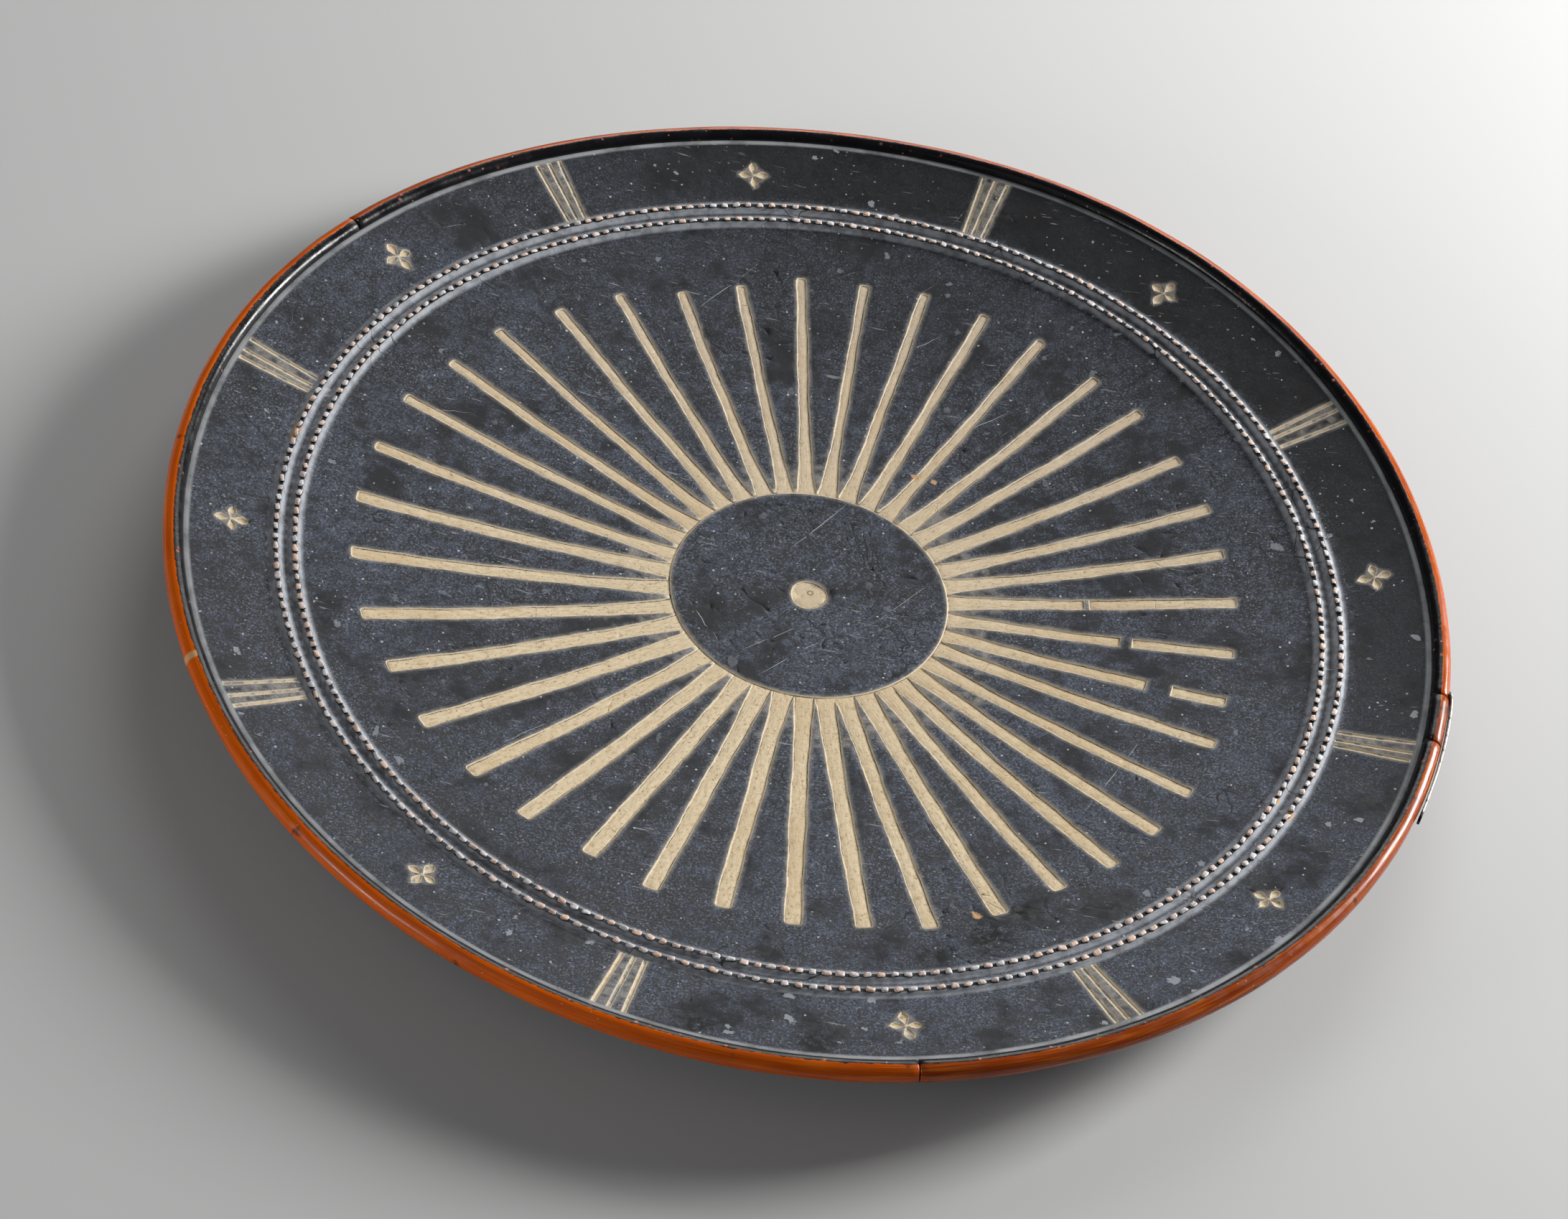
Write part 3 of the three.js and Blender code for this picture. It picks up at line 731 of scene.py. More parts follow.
def lacquered_hide(colours):
    """Thick hide under old black lacquer.

    A dry, greyed skin with a low sheen, specked and crazed; where the knife went through it the pale,
    fibrous hide shows, with dirt in the knife line and a dry whitish edge.
    """
    material, tree = new_material("lacquered_hide")
    place = add(tree, "ShaderNodeTexCoord").outputs["Object"]
    mark = {
        name: add(tree, "ShaderNodeAttribute", attribute_name=name).outputs["Fac"]
        for name in ("cut", "wear", "seam", "scratch", "crack", "smear", "plan_radius", "chip")
    }
    axis = add(tree, "ShaderNodeSeparateXYZ", {0: place}).outputs
    # Towards the far right, where the border is darkened as painted shade of the rim.
    rim_shade_way = add(tree, "ShaderNodeVectorMath", {0: place, 1: (0.64, 0.77, 0)}, operation="DOT_PRODUCT")
    # A small brown ring is left in the middle of the pale dot.
    dot = add(tree, "ShaderNodeVectorMath", {0: place, 1: (0.4 * MM, 2 * MM, 5 * MM)}, operation="DISTANCE")
    # Bared fibres run out along the spokes, and hairline scratches mostly one way.
    out = add(tree, "ShaderNodeVectorMath", {0: place}, operation="LENGTH")
    turn = add(tree, MATH, {0: axis[1], 1: axis[0]}, operation="ARCTAN2")
    spoke = add(tree, "ShaderNodeCombineXYZ", {0: out, 1: turn})
    spoke = add(tree, "ShaderNodeMapping", {"Vector": spoke, "Scale": (0.3, 0.15, 1)})
    drawn = {"Vector": place, "Rotation": (0, 0, 0.95), "Scale": (0.06, 1, 1)}
    drawn = add(tree, "ShaderNodeMapping", drawn)

    # Each pattern: what it is laid on, its real size in millimetres, its detail and its roughness.
    # The grit is drawn a little coarser than it is, so that it shows.
    patterns = {
        "broad": (place, 95, 4, 0.55), "smoke": (place, 34, 7, 0.66), "medium": (place, 21, 4, 0.6),
        "mottle": (place, 6.5, 3, 0.55), "speckle": (place, 4.2, 8, 0.78), "grit": (place, 1.15, 4, 0.75),
        "hair": (drawn, 1.5, 2, 0.5), "hair_zone": (place, 31, 2, 0.5), "craze_zone": (place, 38, 2, 0.5),
        "fibre": (spoke, 1.6, 6, 0.72), "pores": (place, 1.7, 5, 0.7), "ragged": (place, 1.1, 2, 0.5),
        "knife_zone": (place, 17, 2, 0.5),
    }
    cloud = {
        name: add(tree, NOISE, {"Vector": on, "Scale": per_mm(size), "Detail": detail, "Roughness": rough})
        for name, (on, size, detail, rough) in patterns.items()
    }
    bent = add(tree, NOISE, {"Vector": place, "Scale": per_mm(16), "Detail": 2.0}).outputs["Color"]
    bent = add(tree, "ShaderNodeVectorMath", {0: bent, "Scale": 14 * MM}, operation="SCALE")
    bent = add(tree, "ShaderNodeVectorMath", {0: place, 1: bent}, operation="ADD")
    crazing = add(tree, VORONOI, {"Vector": bent, "Scale": per_mm(17)}, feature="DISTANCE_TO_EDGE")
    specks = add(tree, VORONOI, {"Vector": place, "Scale": per_mm(4.5)})
    speck_pick = add(tree, "ShaderNodeSeparateColor", {0: specks.outputs["Color"]})
    dabs = add(tree, VORONOI, {"Vector": bent, "Scale": per_mm(12)})
    dab_pick = add(tree, "ShaderNodeSeparateColor", {0: dabs.outputs["Color"]})

    # Each sum: a value, how much of it counts, and what it is added to.
    sums = {
        "edge": (cloud["ragged"], 0.55, mark["cut"]), "scratched": (cloud["grit"], 0.5, mark["scratch"]),
        "chipped": (cloud["grit"], 0.6, mark["chip"]), "tarred": (cloud["mottle"], 0.6, cloud["speckle"]),
        "kept": (mark["wear"], 0.35, cloud["mottle"]),
    }
    total = {
        name: add(tree, MATH, {0: value, 1: share, 2: base}, operation="MULTIPLY_ADD")
        for name, (value, share, base) in sums.items()
    }
    # Each ramp: what it reads, where it starts and ends, and what it gives there.
    ramps = {
        "old_dust": (cloud["broad"], 0.35, 0.68, 0, 0.4), "dust": (cloud["medium"], 0.33, 0.68, 0, 0.36),
        "fine_dust": (cloud["mottle"], 0.34, 0.66, -0.14, 0.36),
        "speckle": (cloud["speckle"], 0.38, 0.64, -0.34, 0.4),
        "grit_light": (cloud["grit"], 0.53, 0.66, 0, 0.75),
        "grit_zone": (cloud["smoke"], 0.36, 0.62, 0.4, 1),
        "grit_dark": (cloud["grit"], 0.49, 0.38, 0, 0.9), "smoke": (cloud["smoke"], 0.5, 0.36, 0, 0.88),
        # The border darkens towards the far right: painted shade of the rim.
        "border": (mark["plan_radius"], 271, 281, 0, 0.72), "far": (rim_shade_way, 0.04, 0.2, 0, 1),
        # Darker towards the far side: painted shade, and partly less dust there.
        "far_side_shade_and_less_dust": (axis[1], 0.02, 0.3, 0, 0.55),
        "speck_size": (speck_pick, 0.2, 1, 0, 0.28), "speck_zone": (cloud["medium"], 0.42, 0.58, 0.3, 1),
        "dab_size": (dab_pick, 0.6, 1, 0, 0.4), "dab_zone": (mark["plan_radius"], 200, 290, 0.2, 0.7),
        "craze_line": (crazing, 0.03, 0.008, 0, 0.85), "craze_zone": (cloud["craze_zone"], 0.54, 0.66, 0, 1),
        "hair": (cloud["hair"], 0.66, 0.74, 0, 0.45), "hair_zone": (cloud["hair_zone"], 0.48, 0.62, 0, 1),
        # The seam slopes are painted lighter: dust, and painted light as on lit flanks.
        "slope_in": (mark["seam"], 0.7, 1.6, 0, 0.8), "slope_out": (mark["seam"], 5.2, 2.4, 0, 1),
        "slope_zone": (cloud["mottle"], 0.3, 0.62, 0.5, 1), "track": (mark["seam"], 1.25, 0.7, 0, 0.9),
        "crack": (mark["crack"], 0.25, 0.7, 0, 1), "tar": (total["tarred"], 0.72, 0.84, 0, 1),
        "scratch": (total["scratched"], 0.5, 1, 0, 0.85),
        "lip_in": (mark["plan_radius"], 311.2, 313, 0, 1),
        "lip_out": (mark["plan_radius"], 315.6, 314.6, 0, 1),
        "lip_zone": (cloud["medium"], 0.3, 0.6, 0.4, 0.95),
        "fibre_light": (cloud["fibre"], 0.3, 0.72, 0, 1),
        "fibre_dark": (cloud["fibre"], 0.47, 0.33, 0, 0.55),
        "pores": (cloud["pores"], 0.55, 0.68, 0, 0.75), "far_rays": (axis[1], -0.1, 0.22, 0, 0.5),
        "stain": (cloud["broad"], 0.42, 0.7, 0, 0.4),
        "ring_in": (dot, 1.0 * MM, 1.4 * MM, 0, 0.75), "ring_out": (dot, 2.2 * MM, 1.7 * MM, 0, 1),
        "knife_in": (total["edge"], -0.52, -0.27, 0, 1), "knife_out": (total["edge"], 0.03, -0.14, 0, 1),
        "knife_zone": (cloud["knife_zone"], 0.42, 0.58, 0.05, 0.9),
        "rim_in": (total["edge"], -0.1, 0.22, 0, 1), "rim_out": (total["edge"], 0.85, 0.38, 0, 1),
        "rim_zone": (cloud["medium"], 0.3, 0.6, 0.25, 0.65), "shown": (total["edge"], 0.43, 0.29, 0, 1),
        "kept": (total["kept"], 0.62, 0.74, 0, 0.8), "chip": (total["chipped"], 0.7, 0.95, 0, 1),
        "halo": (mark["cut"], 2.6, 0.1, 0, 1), "halo_zone": (cloud["mottle"], 0.3, 0.62, 0.15, 0.5),
    }
    ramp = {
        name: add(
            tree, RAMP, {"Value": value, "From Min": start, "From Max": end, "To Min": low, "To Max": high},
            interpolation_type="SMOOTHSTEP",
        )
        for name, (value, start, end, low, high) in ramps.items()
    }
    dust = ramp["old_dust"]
    for name in ("dust", "fine_dust", "speckle"):
        dust = add(tree, MATH, {0: dust, 1: ramp[name]}, operation="ADD")
    worn = add(tree, MATH, {0: mark["wear"], 1: 0.05}, operation="GREATER_THAN")
    whole = add(tree, MATH, {0: mark["wear"], 1: 0.05}, operation="LESS_THAN")
    # Each mask: the values that are multiplied to make it.
    masks = {
        "grit": (ramp["grit_light"], ramp["grit_zone"]), "border": (ramp["border"], ramp["far"]),
        "speck_reach": (ramp["speck_size"], cloud["grit"]), "dab_reach": (ramp["dab_size"], cloud["grit"]),
        "crazing": (ramp["craze_line"], ramp["craze_zone"]), "hair": (ramp["hair"], ramp["hair_zone"]),
        "slope_dust_and_light": (ramp["slope_in"], ramp["slope_out"], ramp["slope_zone"]),
        "tar": (mark["smear"], ramp["tar"]),
        "lip": (ramp["lip_in"], ramp["lip_out"], ramp["lip_zone"]),
        "knife": (ramp["knife_in"], ramp["knife_out"], ramp["knife_zone"], whole),
        "rim": (ramp["rim_in"], ramp["rim_out"], ramp["rim_zone"]), "kept": (ramp["kept"], worn),
        "halo": (ramp["halo"], ramp["halo_zone"]), "ring": (ramp["ring_in"], ramp["ring_out"]),
    }
    mask = {}
    for name, (first, *others) in masks.items():
        for other in others:
            first = add(tree, MATH, {0: first, 1: other}, operation="MULTIPLY")
        mask[name] = first
    speck = add(tree, MATH, {0: mask["speck_reach"], 1: specks}, operation="GREATER_THAN")
    speck = add(tree, MATH, {0: speck, 1: ramp["speck_zone"]}, operation="MULTIPLY")
    dab = add(tree, MATH, {0: mask["dab_reach"], 1: dabs}, operation="GREATER_THAN")
    dab = add(tree, MATH, {0: dab, 1: ramp["dab_zone"]}, operation="MULTIPLY")
    dark = add(tree, MATH, {0: ramp["crack"], 1: mask["crazing"]}, operation="MAXIMUM")
    dark = add(tree, MATH, {0: dark, 1: mask["tar"]}, operation="MAXIMUM")
    lost = add(tree, MATH, {0: 1.0, 1: mask["kept"]}, operation="SUBTRACT")
    shown = add(tree, MATH, {0: ramp["shown"], 1: lost}, operation="MULTIPLY")
    wear = add(tree, MATH, {0: mark["wear"], 1: 1.1}, operation="MULTIPLY")

    bared = colours.raw
    for factor, tone in (
        (ramp["fibre_light"], colours.raw_pale), (ramp["fibre_dark"], colours.raw_dark),
        (ramp["pores"], linear("#7C6346")), (ramp["far_rays"], linear("#C6B5A2")), (wear, linear("#B9AC94")),
        (ramp["stain"], linear("#C8AC80")), (mask["knife"], colours.grime),
        (mask["ring"], linear("#85633D")),
    ):
        bared = add(tree, MIX, {0: factor, 6: bared, 7: tone}, data_type="RGBA")
    # From the lacquer up: dust, grit, smoky black, painted shade towards the far side and at the far right
    # of the border, specks, seams with their slopes painted lighter as if lit, old black, scratches, lip,
    # then the cuts.
    base = colours.lacquer
    for factor, tone in (
        (dust, colours.dusty), (mask["grit"], linear("#8E95A3")), (ramp["grit_dark"], linear("#0A0B0F")),
        # Painted shade towards the far side, partly also less dust there.
        (ramp["smoke"], linear("#0D0E13")), (ramp["far_side_shade_and_less_dust"], linear("#0C0D11")),
        # The border at the far right, darkened as painted shade of the rim.
        (mask["border"], linear("#09090B")), (dab, linear("#A4A8AE")),
        # Seam slopes painted lighter: dust, and painted light.
        (speck, colours.chalk), (mask["hair"], colours.chalk), (mask["slope_dust_and_light"], linear("#B0B4BA")),
        (ramp["track"], linear("#0B0B0C")), (dark, linear("#08080A")), (ramp["scratch"], colours.chalk),
        (mask["lip"], linear("#A2A4A6")), (mask["halo"], linear("#A8A198")), (shown, bared),
        (mask["rim"], linear("#E9DDC6")), (ramp["chip"], linear("#C2996B")),
        (ramp["crack"], linear("#100E0C")),
    ):
        base = add(tree, MIX, {0: factor, 6: base, 7: tone}, data_type="RGBA")

    rough = add(tree, RAMP, {"Value": dust, "From Max": 0.9, "To Min": 0.36, "To Max": 0.56})
    rough = add(tree, MATH, {0: cloud["grit"], 1: 0.2, 2: rough}, operation="MULTIPLY_ADD")
    bare_rough = add(tree, MATH, {0: shown, 1: 0.8}, operation="MULTIPLY")
    rough = add(tree, MATH, {0: rough, 1: bare_rough}, operation="MAXIMUM")
    relief = add(tree, MATH, {0: cloud["grit"], 1: 0.4}, operation="MULTIPLY")
    relief = add(tree, MATH, {0: cloud["mottle"], 1: 0.6, 2: relief}, operation="MULTIPLY_ADD")
    fibre = add(tree, MATH, {0: cloud["fibre"], 1: shown}, operation="MULTIPLY")
    relief = add(tree, MATH, {0: fibre, 1: 0.9, 2: relief}, operation="MULTIPLY_ADD")
    bump = add(tree, "ShaderNodeBump", {"Strength": 0.55, "Distance": 0.4 * MM, "Height": relief})
    shader = add(tree, PRINCIPLED, {"Base Color": base, "Roughness": rough, "Normal": bump, "IOR": 1.36})
    add(tree, "ShaderNodeOutputMaterial", {0: shader})
    return material


def rawhide_lacing(colours):
    """Rawhide thong: waxy, pinkish and pale on its rubbed tops, black with old lacquer at its sides."""
    material, tree = new_material("rawhide_lacing")
    place = add(tree, "ShaderNodeTexCoord").outputs["Object"]
    crown = add(tree, "ShaderNodeAttribute", attribute_name="crown").outputs["Fac"]
    tint = add(tree, "ShaderNodeAttribute", attribute_name="tint").outputs["Fac"]
    patch = add(tree, NOISE, {"Vector": place, "Scale": per_mm(1.6), "Detail": 3.0})
    uneven = add(tree, MATH, {0: patch, 1: 0.7, 2: crown}, operation="MULTIPLY_ADD")
    rubbed = add(
        tree, RAMP, {"Value": uneven, "From Min": 0.6, "From Max": 0.9}, interpolation_type="SMOOTHSTEP"
    )
    tone = add(tree, MIX, {0: tint, 6: colours.lacing, 7: linear("#C9CACD")}, data_type="RGBA")
    base = add(tree, MIX, {0: rubbed, 6: linear("#0F0E0F"), 7: tone}, data_type="RGBA")
    bump = add(tree, "ShaderNodeBump", {"Strength": 0.4, "Distance": 0.2 * MM, "Height": patch})
    shader = add(tree, PRINCIPLED, {"Base Color": base, "Roughness": 0.48, "Normal": bump, "IOR": 1.52})
    add(tree, "ShaderNodeOutputMaterial", {0: shader})
    return material


def varnished_cane(colours):
    """Rattan cane under varnish.

    Fine lengthwise fibres under a glassy orange-brown coat; the inner side is painted black, and the
    black has flaked off in red flecks along its border.
    """
    material, tree = new_material("varnished_cane")
    place = add(tree, "ShaderNodeTexCoord").outputs["Object"]
    mark = {
        name: add(tree, "ShaderNodeAttribute", attribute_name=name).outputs["Fac"]
        for name in ("redness", "inward", "knot")
    }
    grain = add(tree, "ShaderNodeUVMap", uv_map="grain")
    drawn = add(tree, "ShaderNodeMapping", {"Vector": grain, "Scale": (0.03, 1, 1)})
    # Each pattern: what it is laid on and its real size in millimetres.
    patterns = {
        "fibre": (drawn, 0.9), "streak": (drawn, 3.4), "broad": (place, 48), "fine": (place, 2.6),
        "dirt": (place, 11),
    }
    cloud = {
        name: add(tree, NOISE, {"Vector": on, "Scale": per_mm(size), "Detail": 3.0})
        for name, (on, size) in patterns.items()
    }
    cells = add(tree, VORONOI, {"Vector": place, "Scale": per_mm(3.4)})
    pick = add(tree, "ShaderNodeSeparateColor", {0: cells.outputs["Color"]})
    border = add(tree, MATH, {0: cloud["fine"], 1: 0.3, 2: mark["inward"]}, operation="MULTIPLY_ADD")
    border = add(tree, MATH, {0: cloud["dirt"], 1: 0.25, 2: border}, operation="MULTIPLY_ADD")
    # Each ramp: what it reads, where it starts and ends, and what it gives there.
    ramps = {
        "brown": (cloud["broad"], 0.4, 0.75, 0, 0.35), "fibre": (cloud["fibre"], 0.42, 0.72, 0, 0.45),
        "streak": (cloud["streak"], 0.46, 0.3, 0, 0.55), "dirt": (cloud["dirt"], 0.66, 0.74, 0, 0.75),
        "knot": (mark["knot"], 0.3, 0.7, 0, 1), "black": (border, 0.255, 0.325, 0, 1),
        "fleck_size": (pick, 0.5, 1, 0, 0.32), "fleck_edge": (mark["inward"], 0.75, 0.1, 0.25, 1),
        "fleck_zone": (cloud["dirt"], 0.42, 0.56, 0, 0.9), "speck_pick": (pick, 0.72, 0.8, 0, 0.6),
        "rough": (cloud["dirt"], 0.3, 0.7, 0.18, 0.34), "painted": (cloud["fine"], 0.3, 0.7, 0.1, 0.5),
    }
    ramp = {
        name: add(
            tree, RAMP, {"Value": value, "From Min": start, "From Max": end, "To Min": low, "To Max": high},
            interpolation_type="SMOOTHSTEP",
        )
        for name, (value, start, end, low, high) in ramps.items()
    }
    fleck = add(tree, MATH, {0: ramp["fleck_size"], 1: cells}, operation="GREATER_THAN")
    fleck = add(tree, MATH, {0: fleck, 1: ramp["fleck_edge"]}, operation="MULTIPLY")
    fleck = add(tree, MATH, {0: fleck, 1: ramp["fleck_zone"]}, operation="MULTIPLY")
    fleck = add(tree, MATH, {0: fleck, 1: ramp["black"]}, operation="MULTIPLY")
    speck = add(tree, MATH, {0: 0.1, 1: cells}, operation="GREATER_THAN")
    speck = add(tree, MATH, {0: speck, 1: ramp["speck_pick"]}, operation="MULTIPLY")

    base = colours.cane
    for factor, tone in (
        (mark["redness"], colours.cane_red), (ramp["brown"], linear("#9A3A00")),
        (ramp["fibre"], linear("#E87E14")), (ramp["streak"], linear("#5B1F06")),
        (ramp["dirt"], linear("#241009")), (ramp["knot"], linear("#D9A873")),
        (ramp["black"], linear("#121114")), (fleck, colours.flake), (speck, linear("#D8C0A4")),
    ):
        base = add(tree, MIX, {0: factor, 6: base, 7: tone}, data_type="RGBA")
    relief = add(tree, MATH, {0: ramp["black"], 1: ramp["painted"]}, operation="MULTIPLY")
    relief = add(tree, MATH, {0: cloud["fibre"], 1: 0.5, 2: relief}, operation="MULTIPLY_ADD")
    bump = add(tree, "ShaderNodeBump", {"Strength": 0.35, "Distance": 0.25 * MM, "Height": relief})
    rough = ramp["rough"]
    shader = add(tree, PRINCIPLED, {"Base Color": base, "Roughness": rough, "Normal": bump, "IOR": 1.38})
    add(tree, "ShaderNodeOutputMaterial", {0: shader})
    return material


def tarnished_strip(colours):
    """Thin hammered strip of whitish metal, dulled, with brown tarnish and a blackened end."""
    material, tree = new_material("tarnished_strip")
    place = add(tree, "ShaderNodeTexCoord").outputs["Object"]
    blackened = add(tree, "ShaderNodeAttribute", attribute_name="blackened").outputs["Fac"]
    stain = add(tree, NOISE, {"Vector": place, "Scale": per_mm(3.5), "Detail": 4.0})
    brown = add(
        tree, RAMP, {"Value": stain, "From Min": 0.5, "From Max": 0.7}, interpolation_type="SMOOTHSTEP"
    )
    base = add(tree, MIX, {0: brown, 6: colours.metal, 7: linear("#5C5148")}, data_type="RGBA")
    base = add(tree, MIX, {0: blackened, 6: base, 7: linear("#16130F")}, data_type="RGBA")
    rough = add(tree, RAMP, {"Value": stain, "To Min": 0.3, "To Max": 0.55})
    bump = add(tree, "ShaderNodeBump", {"Strength": 0.3, "Distance": 0.2 * MM, "Height": stain})
    shader = add(tree, PRINCIPLED, {"Base Color": base, "Roughness": rough, "Normal": bump, "Metallic": 0.9})
    add(tree, "ShaderNodeOutputMaterial", {0: shader})
    return material


def pale_floor(colours):
    """Matt pale studio board with a faint unevenness."""
    material, tree = new_material("pale_studio_board")
    place = add(tree, "ShaderNodeTexCoord").outputs["Object"]
    tooth = add(tree, NOISE, {"Vector": place, "Scale": per_mm(2.5), "Detail": 2.0})
    bump = add(tree, "ShaderNodeBump", {"Strength": 0.1, "Distance": 0.2 * MM, "Height": tooth})
    shader = add(tree, PRINCIPLED, {"Base Color": colours.floor, "Roughness": 0.75, "Normal": bump})
    add(tree, "ShaderNodeOutputMaterial", {0: shader})
    return material


class SHIELD_OT_hide(bpy.types.Operator):
    """Build the dished hide with its carved face and plain back"""

    bl_idname = "shield.hide"
    bl_label = "Hide"

    def execute(self, context):
        scene = context.scene
        ornament = scene.shield_ornament
        bowl = Bowl(scene.shield_sizes, ornament)
        carving = Carving(ornament)
        xy, triangles, scratch, crack = face_mesh(bowl, carving)
        height, cut, wear, seam, radius = face_heights(bowl, carving, xy, scratch, crack)
        back, back_faces = back_mesh(bowl)
        first = len(xy)
        points = bowl.warp(np.concatenate([np.column_stack([xy, height]), back]))
        edge = np.flatnonzero(radius > bowl.lip_end - 0.01 * MM)
        edge = edge[np.argsort(np.arctan2(xy[edge, 1], xy[edge, 0]) % (2 * math.pi - 1e-6))]
        if len(edge) != EDGE_COUNT:
            raise RuntimeError("the face and the back don't meet")
        faces = list(triangles) + [tuple(first + i for i in face) for face in back_faces]
        for j in range(EDGE_COUNT):
            k = (j + 1) % EDGE_COUNT
            faces.append((edge[j], first + j, first + k, edge[k]))
        piece = new_piece("hide", points, faces, lacquered_hide(scene.shield_colours))

        # What the material reads on the face, and the one value that stands for it on the back.
        marks = {
            "cut": (np.clip(cut / MM, -6, 6), 6), "wear": (wear, 0), "seam": (np.clip(seam / MM, 0, 12), 12),
            "scratch": (scratch, 0), "crack": (crack, 0), "plan_radius": (radius / MM, 0),
            "smear": (spots(xy, BLACK_SMEARS), 0), "chip": (spots(xy, CHIPS), 0),
        }
        for name, (on_face, on_back) in marks.items():
            store(piece, name, np.concatenate([on_face, np.full(len(back), on_back)]))
        hand_over(piece, "hide", "hide_disc")
        return {"FINISHED"}


def stitch_tree(material):
    """Geometry nodes that set rawhide stitches along a seam."""
    tree = bpy.data.node_groups.new("stitches_along_seam", "GeometryNodeTree")
    sockets = [
        ("Geometry", "INPUT", "Geometry"), ("Count", "INPUT", "Int"), ("Length", "INPUT", "Float"),
        ("Width", "INPUT", "Float"), ("Height", "INPUT", "Float"), ("Seed", "INPUT", "Int"),
        ("Geometry", "OUTPUT", "Geometry"),
    ]
    for name, way, kind in sockets:
        tree.interface.new_socket(name, in_out=way, socket_type=f"NodeSocket{kind}")
    given = add(tree, "NodeGroupInput").outputs

    # One stitch: a small block, rounded part of the way to a ball, that knows how high each point sits.
    block = add(
        tree, "GeometryNodeMeshCube", {"Size": (1, 1, 1), "Vertices X": 4, "Vertices Y": 4, "Vertices Z": 3}
    )
    corner = add(tree, "GeometryNodeInputPosition")
    ball = add(tree, "ShaderNodeVectorMath", {0: corner}, operation="NORMALIZE")
    ball = add(tree, "ShaderNodeVectorMath", {0: ball, "Scale": 0.5}, operation="SCALE")
    rounded = add(tree, MIX, {0: 0.62, 4: corner, 5: ball}, data_type="VECTOR")
    bead = add(tree, "GeometryNodeSetPosition", {"Geometry": block.outputs[0], "Position": rounded})
    lift = add(tree, "ShaderNodeSeparateXYZ", {0: add(tree, "GeometryNodeInputPosition")}).outputs["Z"]
    crown = add(tree, MATH, {0: lift, 1: 2.0}, operation="MULTIPLY")
    marked = add(
        tree, "GeometryNodeStoreNamedAttribute", {"Geometry": bead, "Name": "crown", "Value": crown},
        data_type="FLOAT", domain="POINT",
    )
    tall = add(tree, MATH, {0: given["Height"], 1: 2.0}, operation="MULTIPLY")
    size = add(tree, "ShaderNodeCombineXYZ", {0: given["Length"], 1: given["Width"], 2: tall})
    sized = add(tree, "GeometryNodeTransform", {"Geometry": marked, "Scale": size})
    smoothed = add(tree, "GeometryNodeSetShadeSmooth", {"Geometry": sized})

    # The row: stitches spaced evenly along the seam, each twisted, sized and tinted a little by itself.
    row = {"Curve": given["Geometry"], "Count": given["Count"]}
    spread = add(tree, "GeometryNodeCurveToPoints", row, mode="COUNT")
    facing = add(
        tree, "FunctionNodeAlignRotationToVector", {"Vector": spread.outputs["Tangent"]},
        axis="X", pivot_axis="Z",
    )
    twist = add(
        tree, "FunctionNodeRandomValue",
        {0: (-0.1, -0.08, -0.22), 1: (0.1, 0.08, 0.22), "Seed": given["Seed"]}, data_type="FLOAT_VECTOR",
    )
    twist = add(tree, "FunctionNodeEulerToRotation", {0: twist})
    turned = add(tree, "FunctionNodeRotateRotation", {0: facing, 1: twist}, rotation_space="LOCAL")
    other_seed = add(tree, MATH, {0: given["Seed"], 1: 5.0}, operation="ADD")
    scale = add(
        tree, "FunctionNodeRandomValue", {0: (0.78, 0.8, 0.7), 1: (1.15, 1.15, 1.12), "Seed": other_seed},
        data_type="FLOAT_VECTOR",
    )
    placed = add(
        tree, "GeometryNodeInstanceOnPoints",
        {"Points": spread, "Instance": smoothed, "Rotation": turned, "Scale": scale},
    )
    tint = add(tree, "FunctionNodeRandomValue", {2: 0.0, 3: 0.9, "Seed": given["Seed"]}, data_type="FLOAT")
    tinted = add(
        tree, "GeometryNodeStoreNamedAttribute", {"Geometry": placed, "Name": "tint", "Value": tint},
        data_type="FLOAT", domain="INSTANCE",
    )
    real = add(tree, "GeometryNodeRealizeInstances", {"Geometry": tinted})
    # Every stitch is knocked out of shape by where it sits, so that no two are the same.
    knock = add(tree, NOISE, {"Scale": per_mm(2.2), "Detail": 1.0}).outputs["Color"]
    knock = add(tree, "ShaderNodeVectorMath", {0: knock, 1: (0.5, 0.5, 0.5)}, operation="SUBTRACT")
    knock = add(tree, "ShaderNodeVectorMath", {0: knock, "Scale": 1.7 * MM}, operation="SCALE")
    uneven = add(tree, "GeometryNodeSetPosition", {"Geometry": real, "Offset": knock})
    done = add(tree, "GeometryNodeSetMaterial", {"Geometry": uneven, "Material": material})
    add(tree, "NodeGroupOutput", {0: done})
    return tree


